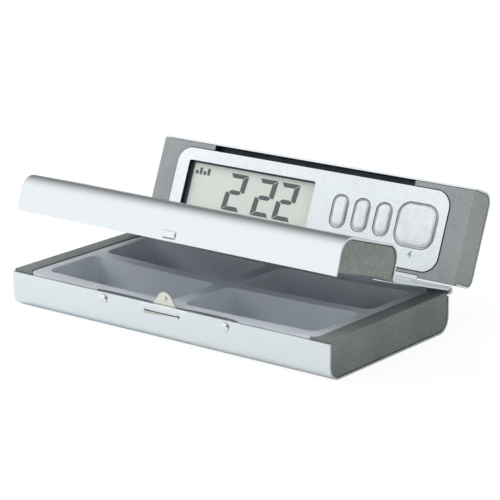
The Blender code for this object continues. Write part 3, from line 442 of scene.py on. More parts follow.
# Base sheet: bottom, front wall and back wall, with the curl round the pin
baseSheetSizes = inMm({
    "halfLength": 51, "halfDepth": 25.5, "thickness": 0.5, "wallHeight": 9.6, "backHeight": 9.2, "bend": 4,
    "edge": 0.07, "rivetPlace": 19.6, "rivetHeight": 7.9, "rivetHole": 0.8, "slitEnds": (-6.15, 4.95),
    "slitHeight": 7.6, "slitWidth": 0.3, "eye": 0.45, "lipRise": 0.3, "lipHeight": 0.9, "lipStep": 0.1,
    "lipSpan": 7.5, "knuckleHalf": 28,
})
lipFadeShare = 0.75  # how much of its swell the lip loses towards its right
shadeBandShare = 0.9  # the dark band's height at its left, as a share of the lip's
hinge = inMm({
    "pin": 0.45, "inner": 0.55, "outer": 1.05, "lead": 1.2, "swing": 0.3, "webTop": 0.45, "webFoot": -0.05,
})
silver = makeFinish(
    "satinAluminium", colour=(0.80, 0.85, 0.875), metallic=1.0, roughness=(0.27, 0.37), tone=(60, 0.012),
    grain=(9000, 0.02), depth=0.01, bumpStrength=0.35, dust=0.02)
# Painted shade: a darker, warmer copy of the aluminium for the band just under the slit
slitPaintedShade = makeFinish(
    "slitBand", colour=(0.62, 0.60, 0.55), metallic=0.9, roughness=(0.35, 0.45), tone=(900, 0.1),
    brush=((600, 9000, 9000), 0.1), depth=0.004)


def curl(leadOuter, leadInner, start, end, steps=54):
    # A sheet's end rolled round the pin, with the points that lead into it
    outer, inner = (ringPoints((0, 0), hinge[face], steps, start, end) for face in ("outer", "inner"))
    return np.vstack([leadOuter, outer, inner[::-1], leadInner[::-1]])


def bentSheet(name, corners, bends):
    # A bent path, thickened and carried along x over the case's length
    half = baseSheetSizes["halfLength"]
    path = roundedPath(corners, [0, *bends, 0], 24)
    return prism(name, thicken(path, baseSheetSizes["thickness"]), -half, half, "x")


def addCurls(sheet, knuckle, low, high):
    for side in (-1, 1):
        join(sheet, tool(knuckle, side * low, side * high, "x"))


def nailLip(points, s):
    # The wall just under the slit swells out: most at the slit, none a little lower and past its ends,
    # with more towards its left
    x, z = points[..., 0], points[..., 2]
    start, end = s["slitEnds"]
    below = np.clip((z - (s["slitHeight"] - s["lipHeight"])) / s["lipHeight"], 0, 1)
    above = np.clip((s["slitHeight"] + s["slitWidth"] / 2 - z) / s["lipStep"], 0, 1)
    share = np.clip((x - start) / (end - start), 0, 1)
    along = np.sqrt(np.clip(4 * share * (1 - share), 0, 1)) * (1 - lipFadeShare * share)
    front = points[..., 1] < -s["halfDepth"] + 2 * s["thickness"]
    points[..., 1] -= np.where(front, below * above * along * s["lipRise"], 0)
    return points


def buildBaseSheet():
    # A bent path, thickened and carried along x, with closer points where the lip swells. The rivets'
    # holes and the slit with its eye go through the front wall.
    s = baseSheetSizes
    deep = s["halfDepth"]
    path = roundedPath([(deep, s["backHeight"]), (deep, 0), (-deep, 0), (-deep, s["wallHeight"])],
                       [0, s["bend"], s["bend"], 0], 24)
    fine = s["slitHeight"] + s["slitWidth"] / 2 - np.linspace(s["lipHeight"] + s["slitWidth"], 0, 18)
    lip = np.stack([np.full_like(fine, -deep), fine], -1)
    path = np.vstack([path[:-1], lip, path[-1:]])
    loop = thicken(path, s["thickness"])
    half = s["halfLength"]
    stations = np.concatenate([[-half], np.linspace(-s["lipSpan"], s["lipSpan"], 61), [half]])
    grid = gridPoints(np.repeat(loop[None], len(stations), 0), stations, "x")
    sheet = gridObject("base_sheet", nailLip(grid, s))
    root = s["wallHeight"] / 2 - pinZ
    knuckle = curl([(-hinge["outer"], root)], [(-hinge["inner"], root)], start=180, end=-100)
    join(sheet, tool(knuckle + np.array((pinY, pinZ)), -s["knuckleHalf"], s["knuckleHalf"], "x"))
    holes = [ringPoints((side * s["rivetPlace"], s["rivetHeight"]), s["rivetHole"]) for side in (-1, 1)]
    start, end = s["slitEnds"]
    low, high = (s["slitHeight"] + side * s["slitWidth"] / 2 for side in (-1, 1))
    holes += [boxLoop((start, low), (end, high)), ringPoints((end, s["slitHeight"]), s["eye"])]
    cut(sheet, *(tool(hole, -deep - overrun, -deep + s["thickness"] + overrun, "y") for hole in holes))

    def underSlit(centres, normals):
        # Painted shade: a wedge below the slit, tallest at its left end
        x, y, z = centres.T
        share = np.clip((x - start) / (end - start), 0, 1)
        foot = low - s["lipHeight"] * (shadeBandShare - share)
        return (x > start) & (x < end) & (z < low + slack) & (z > foot) & (y < -deep + skin)

    smoothEdges(sheet, s["edge"])
    settlePainted(sheet, "base", [silver, slitPaintedShade], underSlit, ["base_shell"])


# Base end caps: textured plastic between tray and sheet
baseCapSizes = inMm({
    "inset": 0.15, "top": 10.25, "foot": 0.7, "deep": 24.8, "bend": 3.3, "inner": 43.9, "edge": 0.28,
})
capGrey = makeFinish(
    "capPlastic", colour=(0.203, 0.216, 0.214), roughness=(0.6, 0.75), tone=(90, 0.2), pebble=(3400, 0.8),
    depth=0.05, bumpStrength=0.7, dust=0.06)
def buildBaseCap(side):
    # A bent outline carried along x, less the tray's outline
    s = baseCapSizes
    deep = s["deep"]
    loop = roundedPath([(deep, s["top"]), (deep, s["foot"]), (-deep, s["foot"]), (-deep, s["top"])],
                       [0, s["bend"], s["bend"], 0], 20)
    outer = baseSheetSizes["halfLength"] - s["inset"]
    name = "base_cap_" + sideWord(side)
    cap = prism(name, loop, side * s["inner"], side * outer, "x")
    cut(cap, tool(trayOutline(traySizes["gap"]), -overrun, s["top"] + overrun, "z"))
    smoothEdges(cap, s["edge"], segments=3, angle=50)
    settle(cap, "base", [capGrey], [name.replace("cap", "end_cap")])


# Pill tray: a deck with four tapered pockets, and a recess behind the latch
traySizes = inMm({
    "halfLength": 46.2, "halfDepth": 24.8, "top": 10.05, "floor": 0.7, "wall": 1, "corner": 2.5,
    "edge": 0.35, "gap": 0.2, "skirtFoot": 4.2, "pocketPlace": (22.6, 11.15), "pocketSize": (42.2, 19.3),
    "pocketCorner": 3, "draft": 1.2, "lip": 0.4, "fillet": 1.6, "sag": 0.7, "sagHalf": 44,
    "recessHalf": 22.6, "recessFloor": 5.2, "recessFace": -23.85, "scoopPlace": 13, "scoop": (8.5, 0.7),
    "scoopFloor": 8.65, "skirtInset": 0.1, "bevel": 0.18,
})
trayGrey = makeFinish(
    "trayPlastic", colour=(0.63, 0.67, 0.71), roughness=(0.33, 0.45), tone=(45, 0.1), grain=(6000, 0.08),
    depth=0.012, bumpStrength=0.4, dust=0.05)
# Painted shade: a darker copy of the tray plastic for the recess behind the latch and its scoops
trayShade = makeFinish(
    "trayShade", colour=(0.20, 0.215, 0.245), roughness=(0.5, 0.6), tone=(45, 0.1), grain=(6000, 0.08),
    depth=0.012, bumpStrength=0.4)


def trayOutline(margin=0.0):
    s = traySizes
    size = (2 * (s["halfLength"] + margin), 2 * (s["halfDepth"] + margin))
    return roundedRect((0, 0), *size, s["corner"] + margin)


def pocketLoops(centre, grow, top, bottom, lip):
    # A tub: each ring is the mouth's outline drawn in by the draft, the floor's fillet or the lip's roll
    s = traySizes
    quarter = np.linspace(0, math.pi / 2, 11)
    insets = list(s["draft"] + s["fillet"] * (1 - np.sin(quarter)))
    heights = list(bottom + s["fillet"] * (1 - np.cos(quarter)))
    if lip:
        insets += list(s["lip"] * np.cos(quarter)) + [0]
        heights += list(top - s["lip"] + s["lip"] * np.sin(quarter)) + [top + overrun]
    else:
        insets += [0]
        heights += [top]
    width, depth = (size - (0 if lip else 2 * s["lip"]) for size in s["pocketSize"])
    loops = [roundedRect(centre, width + 2 * (grow - inset), depth + 2 * (grow - inset),
                         max(s["pocketCorner"] - inset + grow, s["lip"])) for inset in insets]
    return loops, heights


def sagCutter():
    # The deck dips along a parabola towards the middle of its length
    s = traySizes
    x = np.linspace(-baseSheetSizes["halfLength"], baseSheetSizes["halfLength"], 61)
    z = s["top"] - s["sag"] * (1 - (x / s["sagHalf"]) ** 2)
    above = s["top"] + overrun
    loop = np.vstack([np.stack([x, z], -1), [(x[-1], above), (x[0], above)]])
    return tool(loop, -s["halfDepth"] - overrun, s["halfDepth"] + overrun, "y")


def scoopCutter(side):
    # Half an ellipse cut back into the deck from the recess
    s = traySizes
    half, deep = s["scoop"]
    angle = np.linspace(0, math.pi, 61)
    middle = np.array((side * s["scoopPlace"], s["recessFace"]))
    bow = middle + np.stack([half * np.cos(angle), deep * np.sin(angle)], -1)
    loop = np.vstack([bow, bow[[-1, 0]] - np.array((0, overrun))])
    return tool(loop, s["scoopFloor"], s["top"] + overrun, "z")


def buildTray():
    # A plate with a rounded rim, a skirt and four tubs, cut by pockets, recess, scoops and sag
    s = traySizes
    quarter = np.linspace(0, math.pi / 2, 7)
    insets = np.concatenate([[0], s["edge"] * (1 - np.cos(quarter))])
    deckFoot = s["top"] - s["wall"] - s["sag"]
    heights = np.concatenate([[deckFoot], s["top"] - s["edge"] * (1 - np.sin(quarter))])
    tray = gridObject("tray", gridPoints([trayOutline(-inset) for inset in insets], heights, "z"))
    skirtTop = s["top"] - s["wall"] / 2
    skirt = tool(trayOutline(-s["skirtInset"]), s["skirtFoot"], skirtTop, "z")
    cut(skirt, tool(trayOutline(-s["wall"]), s["skirtFoot"] - overrun, skirtTop + overrun, "z"))
    outer = s["recessHalf"] + s["wall"]
    back = s["recessFace"] + s["wall"]
    low = s["recessFloor"] - s["wall"]
    backing = tool(boxLoop((-outer, s["recessFace"]), (outer, back)), low, skirtTop, "z")
    sillLoop = boxLoop((-outer, s["skirtInset"] - s["halfDepth"]), (outer, back - s["wall"] / 2))
    sill = tool(sillLoop, low, s["recessFloor"], "z")
    tubs = []
    pockets = []
    for xSide in (-1, 1):
        for ySide in (-1, 1):
            centre = (xSide * s["pocketPlace"][0], ySide * s["pocketPlace"][1])
            loops, levels = pocketLoops(centre, s["wall"], skirtTop, s["floor"], False)
            tubs.append(gridObject("tool", gridPoints(loops, levels, "z")))
            loops, levels = pocketLoops(centre, 0, s["top"], s["floor"] + s["wall"], True)
            pockets.append(gridObject("tool", gridPoints(loops, levels, "z")))
    join(tray, skirt, backing, sill, *tubs)
    recessLoop = boxLoop((-s["recessHalf"], -s["halfDepth"] - overrun), (s["recessHalf"], s["recessFace"]))
    recess = tool(recessLoop, s["recessFloor"], s["top"] + overrun, "z")
    cut(tray, *pockets, recess, scoopCutter(-1), scoopCutter(1), sagCutter())
    smoothEdges(tray, s["bevel"], segments=3, angle=32)

    def inRecess(centres, normals):
        # Painted shade: the recess, and the floor and back of the two scoops
        x, y, z = centres.T
        inside = (np.abs(x) < s["recessHalf"] + skin) & (z > s["recessFloor"] - skin)
        reach = (np.abs(x) - s["scoopPlace"]) / (s["scoop"][0] + slack)
        bow = s["scoop"][1] * np.sqrt(np.clip(1 - reach ** 2, 0, 1))
        return inside & (y < s["recessFace"] + slack + bow) & (z < s["top"] - s["sag"] - slack)

    settlePainted(tray, "base", [trayGrey, trayShade], inRecess, ["pill_tray"])


# Latch: spring strip with its round tab, and the two rivets
latchSizes = inMm({
    "half": 22, "foot": 5.8, "top": 9.1, "corner": 0.8, "front": -24.8, "thickness": 0.25,
    "tabCentre": 10.45, "tabRadius": 2.5, "tabFoot": 4, "bumpHeight": 11.3, "bump": (0.8, 0.55),
    "hole": 0.9, "edge": 0.05, "head": (1.2, 0.6), "shank": 0.7, "tail": 0.2, "tailPlace": -24.25,
    "headRoot": 0.1,
})
steel = makeFinish(
    "springSteel", colour=(0.80, 0.79, 0.73), metallic=1.0, roughness=(0.28, 0.42),
    brush=((900, 9000, 9000), 0.2), tone=(1500, 0.08), depth=0.006)
rivetMetal = makeFinish(
    "rivetMetal", colour=(0.82, 0.84, 0.85), metallic=1.0, roughness=(0.2, 0.3), tone=(400, 0.03),
    grain=(9000, 0.02), depth=0.005)


def tabLoop(s):
    # A round top whose tangents run out to the strip at both sides
    foot = (s["tabFoot"], s["top"] - s["tabCentre"])
    spread = math.degrees(math.atan2(foot[1], foot[0]) + math.acos(s["tabRadius"] / math.hypot(*foot)))
    top = ringPoints((0, s["tabCentre"]), s["tabRadius"], 60, spread, 180 - spread)
    low = s["top"] - s["corner"]
    right = [(s["tabFoot"], low), (s["tabFoot"], s["top"])]
    left = [(-s["tabFoot"], s["top"]), (-s["tabFoot"], low)]
    return np.vstack([right, top, left])


def buildLatch():
    # A rounded strip and a tab, as thick as the spring, with half an ellipsoid for the bump
    s = latchSizes
    back = s["front"] + s["thickness"]
    strip = roundedRect((0, (s["foot"] + s["top"]) / 2), 2 * s["half"], s["top"] - s["foot"], s["corner"])
    spring = prism("latch_strip", strip, s["front"], back, "y")
    join(spring, tool(tabLoop(s), s["front"], back, "y"))
    place, height = baseSheetSizes["rivetPlace"], baseSheetSizes["rivetHeight"]
    holes = [ringPoints((side * place, height), s["hole"]) for side in (-1, 1)]
    cut(spring, *(tool(hole, s["front"] - overrun, back + overrun, "y") for hole in holes))
    dome = domeProfile(*s["bump"], s["thickness"] / 2)
    join(spring, turned("tool", dome, (0, s["front"], s["bumpHeight"]), "y"))
    smoothEdges(spring, s["edge"], segments=2, angle=40)
    settle(spring, "latch", [steel], ["latch_spring"])


def buildRivet(side):
    # Domed head outside the wall, shank through it, spread tail inside
    s = latchSizes
    wall = -baseSheetSizes["halfDepth"]
    tail = s["tailPlace"] - wall
    radius, rise = s["head"]
    root = -s["headRoot"]
    dome = domeProfile(radius, rise, 0)[2:] + np.array((0, root))
    stem = [(0, tail + s["tail"]), (radius, tail + s["tail"]), (radius, tail), (s["shank"], tail),
            (s["shank"], root), (radius, root)]
    place = (side * baseSheetSizes["rivetPlace"], wall, baseSheetSizes["rivetHeight"])
    name = "rivet_" + sideWord(side)
    rivet = turned(name, np.vstack([stem, dome[1:]]), place, "y")
    smoothEdges(rivet, 0, angle=40)
    settle(rivet, "base", [rivetMetal], ["latch_" + name])


# Hinge pin with a softly turned end
pinSizes = inMm({"half": 51.15, "edge": 0.15})
pinMetal = makeFinish(
    "pinSteel", colour=(0.62, 0.63, 0.64), metallic=1.0, roughness=(0.25, 0.35),
    brush=((9000, 600, 600), 0.04), tone=(300, 0.02), depth=0.004)


def buildPin():
    # A straight side with quarter-round ends, turned round the pin's line
    half, edge, radius = pinSizes["half"], pinSizes["edge"], hinge["pin"]
    quarter = np.linspace(0, math.pi / 2, 6)
    end = np.stack([radius - edge + edge * np.sin(quarter), half - edge + edge * np.cos(quarter)], -1)
    profile = np.vstack([[(0, half)], end, end[::-1] * np.array((1, -1)), [(0, -half)]])
    pin = turned("pin", profile, (0, pinY, pinZ), "x")
    smoothEdges(pin, 0, angle=40)
    settle(pin, "base", [pinMetal], ["hinge_pin"])


# Lid: the front box, the web behind it and two curls at each end of the pin
lidSizes = inMm({
    "front": -51.55, "foot": -0.6, "top": 9.1, "rear": -26.85, "bends": (4.2, 4, 0.7),
    "catch": (4, 1.7), "catchHeight": 1.05, "catchCorner": 0.45, "catchMargins": (0.2, 0.2, 0.05, -0.2),
    "catchPlaces": (0.25, 0, -0.24, -0.35), "nest": (4.1, 2.1), "nestCorner": 0.4, "nestShift": 0.05,
    "knuckleStart": 40.1, "edge": 0.07,
})
# Painted shade: a darker copy of the aluminium for the catch's lower slope
pressedShade = makeFinish(
    "pressedShade", colour=(0.30, 0.31, 0.32), metallic=0.5, roughness=(0.4, 0.5), tone=(300, 0.1),
    grain=(9000, 0.05), depth=0.004)


def catchLoop(margin):
    s = lidSizes
    width, height = (size + 2 * margin for size in s["catch"])
    return roundedRect((0, s["catchHeight"]), width, height, s["catchCorner"] + margin, 6)


def buildLidSheet():
    # A box open below, a web back to the hinge, and a curl at each end of the pin
    s = lidSizes
    near = -hinge["outer"] - hinge["swing"]
    corners = [(s["front"], s["foot"]), (s["front"], s["top"]), (s["rear"], s["top"]),
               (s["rear"], hinge["webTop"]), (near, hinge["webTop"])]
    sheet = bentSheet("lid_sheet", corners, s["bends"])
    far = near - hinge["lead"]
    outer = [(far, hinge["webTop"]), (near, hinge["webTop"]), (-hinge["inner"], hinge["outer"])]
    inner = [(far, hinge["webFoot"]), (near + hinge["swing"] / 2, hinge["webFoot"]),
             (-hinge["swing"], hinge["inner"])]
    addCurls(sheet, curl(outer, inner, start=90, end=-140), s["knuckleStart"], baseSheetSizes["halfLength"])
    # The catch: rings from inside the sheet out to a smaller one, with a nest for the latch behind it
    rings = [catchLoop(margin) for margin in s["catchMargins"]]
    join(sheet, gridObject("tool", gridPoints(rings, s["front"] + np.array(s["catchPlaces"]), "y")))
    nest = roundedRect((0, s["catchHeight"] - s["nestShift"]), *s["nest"], s["nestCorner"], 6)
    back = s["front"] + baseSheetSizes["thickness"]
    cut(sheet, tool(nest, s["front"] + s["nestShift"], back + overrun, "y"))

    def underCatch(centres, normals):
        # Painted shade on the pressed-out catch's lower slope
        x, y, z = centres.T
        onCatch = (np.abs(x) < s["catch"][0]) & (y < s["front"] - slack) & (z > s["foot"])
        return onCatch & (normals[:, 2] < -0.35)

    smoothEdges(sheet, s["edge"])
    settlePainted(sheet, "lid", [silver, pressedShade], underCatch, ["lid_shell"])


# Lid end caps: textured plastic in the ends of the box
lidCapSizes = inMm({
    "front": -50.85, "rear": -27.55, "foot": 0.3, "top": 8.4, "bends": (3.5, 3.3), "arch": 0.3,
    "outer": 50.85, "thickness": 3, "edge": 0.28,
})
lidCapGrey = makeFinish(
    "lidCapPlastic", colour=(0.25, 0.27, 0.25), roughness=(0.5, 0.65), tone=(90, 0.15), pebble=(3300, 0.6),
    depth=0.035, bumpStrength=0.6, brush=((4000, 2500, 500), 0.2), dust=0.05)


def buildLidCap(side):
    # A bent outline, its foot arched as half a sine wave, carried along x
    s = lidCapSizes
    top = roundedPath([(s["front"], s["foot"]), (s["front"], s["top"]), (s["rear"], s["top"]),
                       (s["rear"], s["foot"])], [0, *s["bends"], 0], 20)
    share = np.linspace(0, 1, 26)[1:-1]
    arch = np.stack([s["rear"] + (s["front"] - s["rear"]) * share,
                     s["foot"] + s["arch"] * np.sin(math.pi * share)], -1)
    name = "lid_cap_" + sideWord(side)
    cap = prism(name, np.vstack([top, arch]), side * (s["outer"] - s["thickness"]), side * s["outer"], "x")
    smoothEdges(cap, s["edge"], segments=3, angle=50)
    settle(cap, "lid", [lidCapGrey], [name.replace("cap", "end_cap")])


# Clock leaf: n from face to back, u up from the pin
coverSizes = inMm({
    "wrap": 1.4, "footWrap": 2.2, "far": 26.65, "back": 9.67, "root": 1.6, "bends": (3.4, 2.4),
    "knuckle": (28.3, 39.8), "edge": 0.07,
})


def buildCover():
    # Wrapped round the leaf's back, top and foot, with a curl beside each of the lid's
    s = coverSizes
    thickness = baseSheetSizes["thickness"]
    corners = [(s["wrap"], s["far"]), (s["back"], s["far"]), (s["back"], s["root"]),
               (s["footWrap"], s["root"])]
    cover = bentSheet("clock_cover", corners, s["bends"])
    reach = s["footWrap"] + thickness
    near = hinge["lead"] / 2
    step = thickness / 2
    outer = [(reach, s["root"] + thickness), (hinge["lead"], s["root"] + thickness), (near, hinge["outer"])]
    inner = [(reach, s["root"]), (hinge["lead"] + step, s["root"]), (near + step, hinge["inner"])]
    addCurls(cover, curl(outer, inner, start=90, end=320), *s["knuckle"])
    hole = ringPoints(doorSizes["centre"], doorSizes["radius"] + doorSizes["gap"], 96)
    cut(cover, tool(hole, s["back"] - thickness - overrun, s["back"] + overrun, "y"))
    smoothEdges(cover, s["edge"])
    settle(cover, "clock", [silver], ["clock_back_cover"])


# Battery door in the cover's round hole
doorSizes = inMm({
    "radius": 8.9, "centre": (-19, 14.125), "back": 9.625, "front": 8.825, "gap": 0.15,
    "slot": (12.5, 1.6, 0.4), "groove": 0.12, "lug": (1.1, 4, 0.4), "lugBack": 9.05, "edge": 0.05,
})
ringShares = (0.78, 0.86)


def buildDoor():
    # Disc with a rolled rim, two shallow rings, a coin slot and two lugs
    s = doorSizes
    r, back, g = s["radius"], s["back"], s["groove"]
    profile = [(0, back)]
    for share in ringShares:
        profile += [(r * share - g, back), (r * share, back - g), (r * share + g, back)]
    quarter = np.linspace(0, math.pi / 2, 6)
    rim = np.stack([r - g * 2 * (1 - np.sin(quarter)), back - g * 2 * (1 - np.cos(quarter))], -1)
    profile = np.vstack([profile, rim, [(r, s["front"]), (0, s["front"])]])
    x, u = s["centre"]
    door = turned("coin_door", profile, (x, 0, u), "y", 96)
    reach, width, thickness = s["lug"]
    for side in (-1, 1):
        tip = boxLoop((x + side * (r - overrun), u - width / 2), (x + side * (r + reach), u + width / 2))
        join(door, tool(tip, s["lugBack"] - thickness, s["lugBack"], "y"))
    length, width, depth = s["slot"]
    slot = roundedRect(s["centre"], length, width, width / 2.05, 8)  # its ends are almost half circles
    cut(door, tool(slot, back - depth, back + overrun, "y"))
    smoothEdges(door, s["edge"], segments=2, angle=40)
    settle(door, "clock", [frameGrey], ["battery_door"])


# Leaf frame: seen at the ends and round the panel
frameSizes = inMm({
    "front": 1.15, "back": 9.05, "low": 2.25, "high": 26, "bends": (2.75, 1.75), "lip": (2.05, 1.6),
    "notch": (28.15, 39.95), "half": 50.85, "cavity": (47, 3.75, 24.5), "cavityCorner": 0.6,
    "ledge": 4.5, "seat": 2.4, "grip": (32.9, 2.2, 24.4), "edge": 0.12, "gap": 0.15, "rim": 1.2,
})
frameGrey = makeFinish(
    "framePlastic", colour=(0.315, 0.335, 0.34), roughness=(0.48, 0.62), tone=(60, 0.12),
    pebble=(4200, 0.3), depth=0.025, bumpStrength=0.5, brush=((3500, 300, 300), 0.1), dust=0.03)
# Painted light: a lighter, greener copy of the frame plastic for the two end faces
frameEndPaintedLight = makeFinish(
    "frameEndPlastic", colour=(0.33, 0.355, 0.33), roughness=(0.5, 0.65), tone=(60, 0.1),
    pebble=(4200, 0.4), depth=0.025, bumpStrength=0.5)
# Painted shade: near-black for the grip slot, the frame walls round the panel and the panel's side walls
darkStrip = makeFinish(
    "darkStrip", colour=(0.012, 0.016, 0.035), roughness=(0.5, 0.7), tone=(200, 0.1), grain=(5000, 0.1),
    depth=0.01)


def buildFrame():
    # An outline with a lip at its foot, carried along x, less the spaces cut in it
    s = frameSizes
    lipBack, lipFoot = s["lip"]
    corners = [(s["front"], s["high"]), (s["back"], s["high"]), (s["back"], s["low"]), (lipBack, s["low"]),
               (lipBack, lipFoot), (s["front"], lipFoot)]
    loop = roundedPath(corners, [0, *s["bends"], 0, 0, 0], 20)
    body = prism("leaf_frame", loop, -s["half"], s["half"], "x")
    half, foot, head = s["cavity"]
    hollow = roundedRect((0, (foot + head) / 2), 2 * half, head - foot, s["cavityCorner"])
    cavity = tool(hollow, s["ledge"], s["back"] + overrun, "y")
    before = s["front"] - overrun
    opening = tool(panelLoop(-s["rim"]), before, s["ledge"] + overrun, "y")
    seat = tool(panelLoop(s["gap"]), before, s["seat"], "y")
    gripHalf, gripDepth, gripLow = s["grip"]
    gripLoop = boxLoop((-gripHalf, gripLow), (gripHalf, s["high"] + overrun))
    grip = tool(gripLoop, before, s["front"] + gripDepth, "y")
    notch = boxLoop((before, lipFoot - overrun), (lipBack + overrun, s["low"]))
    notches = [tool(notch, side * s["notch"][0], side * s["notch"][1], "x") for side in (-1, 1)]
    cut(body, cavity, opening, seat, grip, *notches)

    def finishOf(centres, normals):
        # Painted shade darkens the grip slot and the walls that face the panel; painted light makes the two
        # end faces lighter
        x, n, u = np.abs(centres[:, 0]), centres[:, 1], centres[:, 2]
        inGrip = (x < gripHalf + slack) & (u > gripLow - slack) & (n > s["front"] + skin)
        margin = 2 * s["gap"]
        aroundPanel = (x < panelSizes["half"] + margin) & (u < panelSizes["head"] + margin)
        aroundPanel &= (u > panelSizes["foot"] - margin) & (n < s["seat"]) & (np.abs(normals[:, 1]) < steep)
        dark = (inGrip & (n < s["front"] + gripDepth + slack)) | aroundPanel
        return np.where(dark, 1, np.where(x > s["half"] - slack, 2, 0))

    smoothEdges(body, s["edge"], segments=2, angle=50)
    settlePainted(body, "clock", [frameGrey, darkStrip, frameEndPaintedLight], finishOf,
                  ["clock_frame"])


# Face panel with the display window and the key holes
panelSizes = inMm({
    "half": 44.7, "foot": 3.15, "head": 24.55, "corner": 4.5, "front": 0.95, "back": 2.25, "edge": 0.12,
    "gap": 0.15, "shy": 0.08, "window": (-40.5, 7.65, 2.5, 21.05), "windowCorner": 0.6,
})
panelSilver = makeFinish(
    "silverPanel", colour=(0.85, 0.90, 0.92), metallic=0.25, roughness=(0.38, 0.5), tone=(120, 0.04),
    grain=(4500, 0.2), depth=0.012, bumpStrength=0.5)


def panelLoop(margin):
    s = panelSizes
    centre = (0, (s["foot"] + s["head"]) / 2)
    height = s["head"] - s["foot"] + 2 * margin
    return roundedRect(centre, 2 * (s["half"] + margin), height, s["corner"] + margin, 16)


def buildPanel():
    # A rounded plate less the display window and the key holes
    s = panelSizes
    left, low, right, high = s["window"]
    panel = prism("front_panel", panelLoop(-s["shy"]), s["front"], s["back"], "y")
    centre = ((left + right) / 2, (low + high) / 2)
    openings = [roundedRect(centre, right - left, high - low, s["windowCorner"], 6)]
    openings += [buttonLoop(name, s["gap"]) for name in buttonSizes["places"]]
    cut(panel, *(tool(loop, s["front"] - overrun, s["back"] + overrun, "y") for loop in openings))

    def isSide(centres, normals):
        # Painted shade: the panel's side walls, round its edge and its openings, take the near-black finish
        return np.abs(normals[:, 1]) < steep

    smoothEdges(panel, s["edge"])
    settlePainted(panel, "clock", [panelSilver, darkStrip], isSide, ["face_panel"])


# Keys, each in a moat
buttonSizes = inMm({
    "centre": 14.55, "small": (4.85, 8.65, 2.125), "large": (12.1, 11.5, 3.5),
    "places": {"mode_button": 11.875, "set_button": 18.775, "adjust_button": 25.675, "light_button": 36.05},
    "front": 0.7, "rear": 2.8, "moat": 0.45, "moatDepth": 0.4, "bevel": (0.5, 0.3), "flange": (0.3, 0.4),
    "rim": (0.04, 0.1, 0.05), "moatRound": (0.06, 0.03, 0.05), "lean": 0.06, "crown": (0.9, 0.04),
})
bevelShares = (0, 0.08, 0.2, 0.8, 0.92, 1)
bevelPower = 1.2
# Painted shade: a dark copy of the key plastic for the keys' steep sides
grooveShade = makeFinish(
    "grooveShade", colour=(0.12, 0.125, 0.14), roughness=(0.5, 0.65), tone=(200, 0.2), grain=(5000, 0.2),
    depth=0.008)
buttonSilver = makeFinish(
    "buttonPlastic", colour=(0.80, 0.84, 0.86), metallic=0.4, roughness=(0.3, 0.42), tone=(300, 0.12),
    grain=(4500, 0.2), depth=0.01, bumpStrength=0.4)
# Painted light: a matt copy of the key's silver that keeps the slope round the moat light
moatSilver = makeFinish(
    "moatSilver", colour=(0.72, 0.77, 0.79), roughness=(0.45, 0.55), tone=(300, 0.1), grain=(4500, 0.1),
    depth=0.005)


def buttonLoop(name, margin):
    s = buttonSizes
    width, height, corner = s["large" if name == "light_button" else "small"]
    centre = (s["places"][name], s["centre"])
    return roundedRect(centre, width + 2 * margin, height + 2 * margin, corner + margin, 14)


def buildButton(name):
    # From the rim: a slope down to a moat, a steep side, a bevel and a slightly crowned top
    s = buttonSizes
    moat = s["moat"]
    panelFront = panelSizes["front"]
    floor = panelFront + s["moatDepth"]
    flangeWidth, flangeThickness = s["flange"]
    flangeFront = s["rear"] - flangeThickness
    rimInset, rimFoot, rimTop = s["rim"]
    slopeEnd, sideStart, floorRise = s["moatRound"]
    insets = [-flangeWidth, -flangeWidth, 0, 0, rimInset, moat - slopeEnd, moat, moat + sideStart]
    places = [s["rear"], flangeFront, flangeFront, panelFront + rimFoot, panelFront + rimTop, floor, floor,
              floor - floorRise]
    share = np.array(bevelShares)
    bevelWidth, bevelRise = s["bevel"]
    crownWidth, crownRise = s["crown"]
    insets += list(moat + s["lean"] + bevelWidth * share)
    places += list(s["front"] + crownRise + bevelRise * (1 - share) ** bevelPower)
    crown = np.linspace(0, 1, 5)[1:]
    insets += list(moat + bevelWidth + s["lean"] + crown * crownWidth)
    places += list(s["front"] + crownRise * (1 - crown) ** 2)
    loops = [buttonLoop(name, -inset) for inset in insets]
    button = gridObject(name.replace("button", "key"), gridPoints(loops, places, "y"))

    def finishOf(centres, normals):
        # Painted shade on the steep sides, and painted light on the slope round the moat, which faces the
        # key's middle
        middle = np.array((s["places"][name], 0, s["centre"]))
        outward = ((centres - middle) * normals * (1, 0, 1)).sum(1)
        slope = (outward < 0) & (np.abs(normals[:, 1]) < 0.95)
        return np.where(slope, 2, np.where(np.abs(normals[:, 1]) < 0.3, 1, 0))

    smoothEdges(button, 0, angle=40)
    finishes = [buttonSilver, grooveShade, moatSilver]
    settlePainted(button, "clock", finishes, finishOf, [name], name)


# Display: pale reflector with dark seven-part digits and a small mark
digitSlant = 0.1
slopeShare = 0.55
markBars = 4
lowBarShare = 0.55
displaySizes = inMm({
    "front": 2.4, "back": 3.5, "left": -41.9, "right": 3.9, "low": 6.25, "high": 22.45,
    "digitPlaces": (-27.0, -17.0, -9.65), "digitLow": 9.2, "digitSize": (6.2, 10.3), "stroke": (1.65, 1.2),
    "gap": 0.14, "raise": 0.03, "markPlace": (-38.7, 17.6), "markPitch": 1.35, "markSize": (0.95, 1.9),
    "border": (1.0, 0.42), "edge": 0.1,
})
lcdFace = makeFinish(
    "displayFace", colour=(0.71, 0.76, 0.69), roughness=(0.16, 0.24), tone=(40, 0.03), grain=(3500, 0.03),
    coat=0.5, coatRoughness=0.05)
lcdInk = makeFinish(
    "displayInk", colour=(0.075, 0.095, 0.10), roughness=(0.16, 0.24), tone=(300, 0.06),
    grain=(3500, 0.05), coat=0.5, coatRoughness=0.05)
# Painted shadow: a dark lilac for the strip along the window's left and upper edges
lcdPaintedShadow = makeFinish(
    "displayBorder", colour=(0.085, 0.085, 0.125), roughness=(0.3, 0.4), tone=(300, 0.06),
    grain=(3500, 0.05))


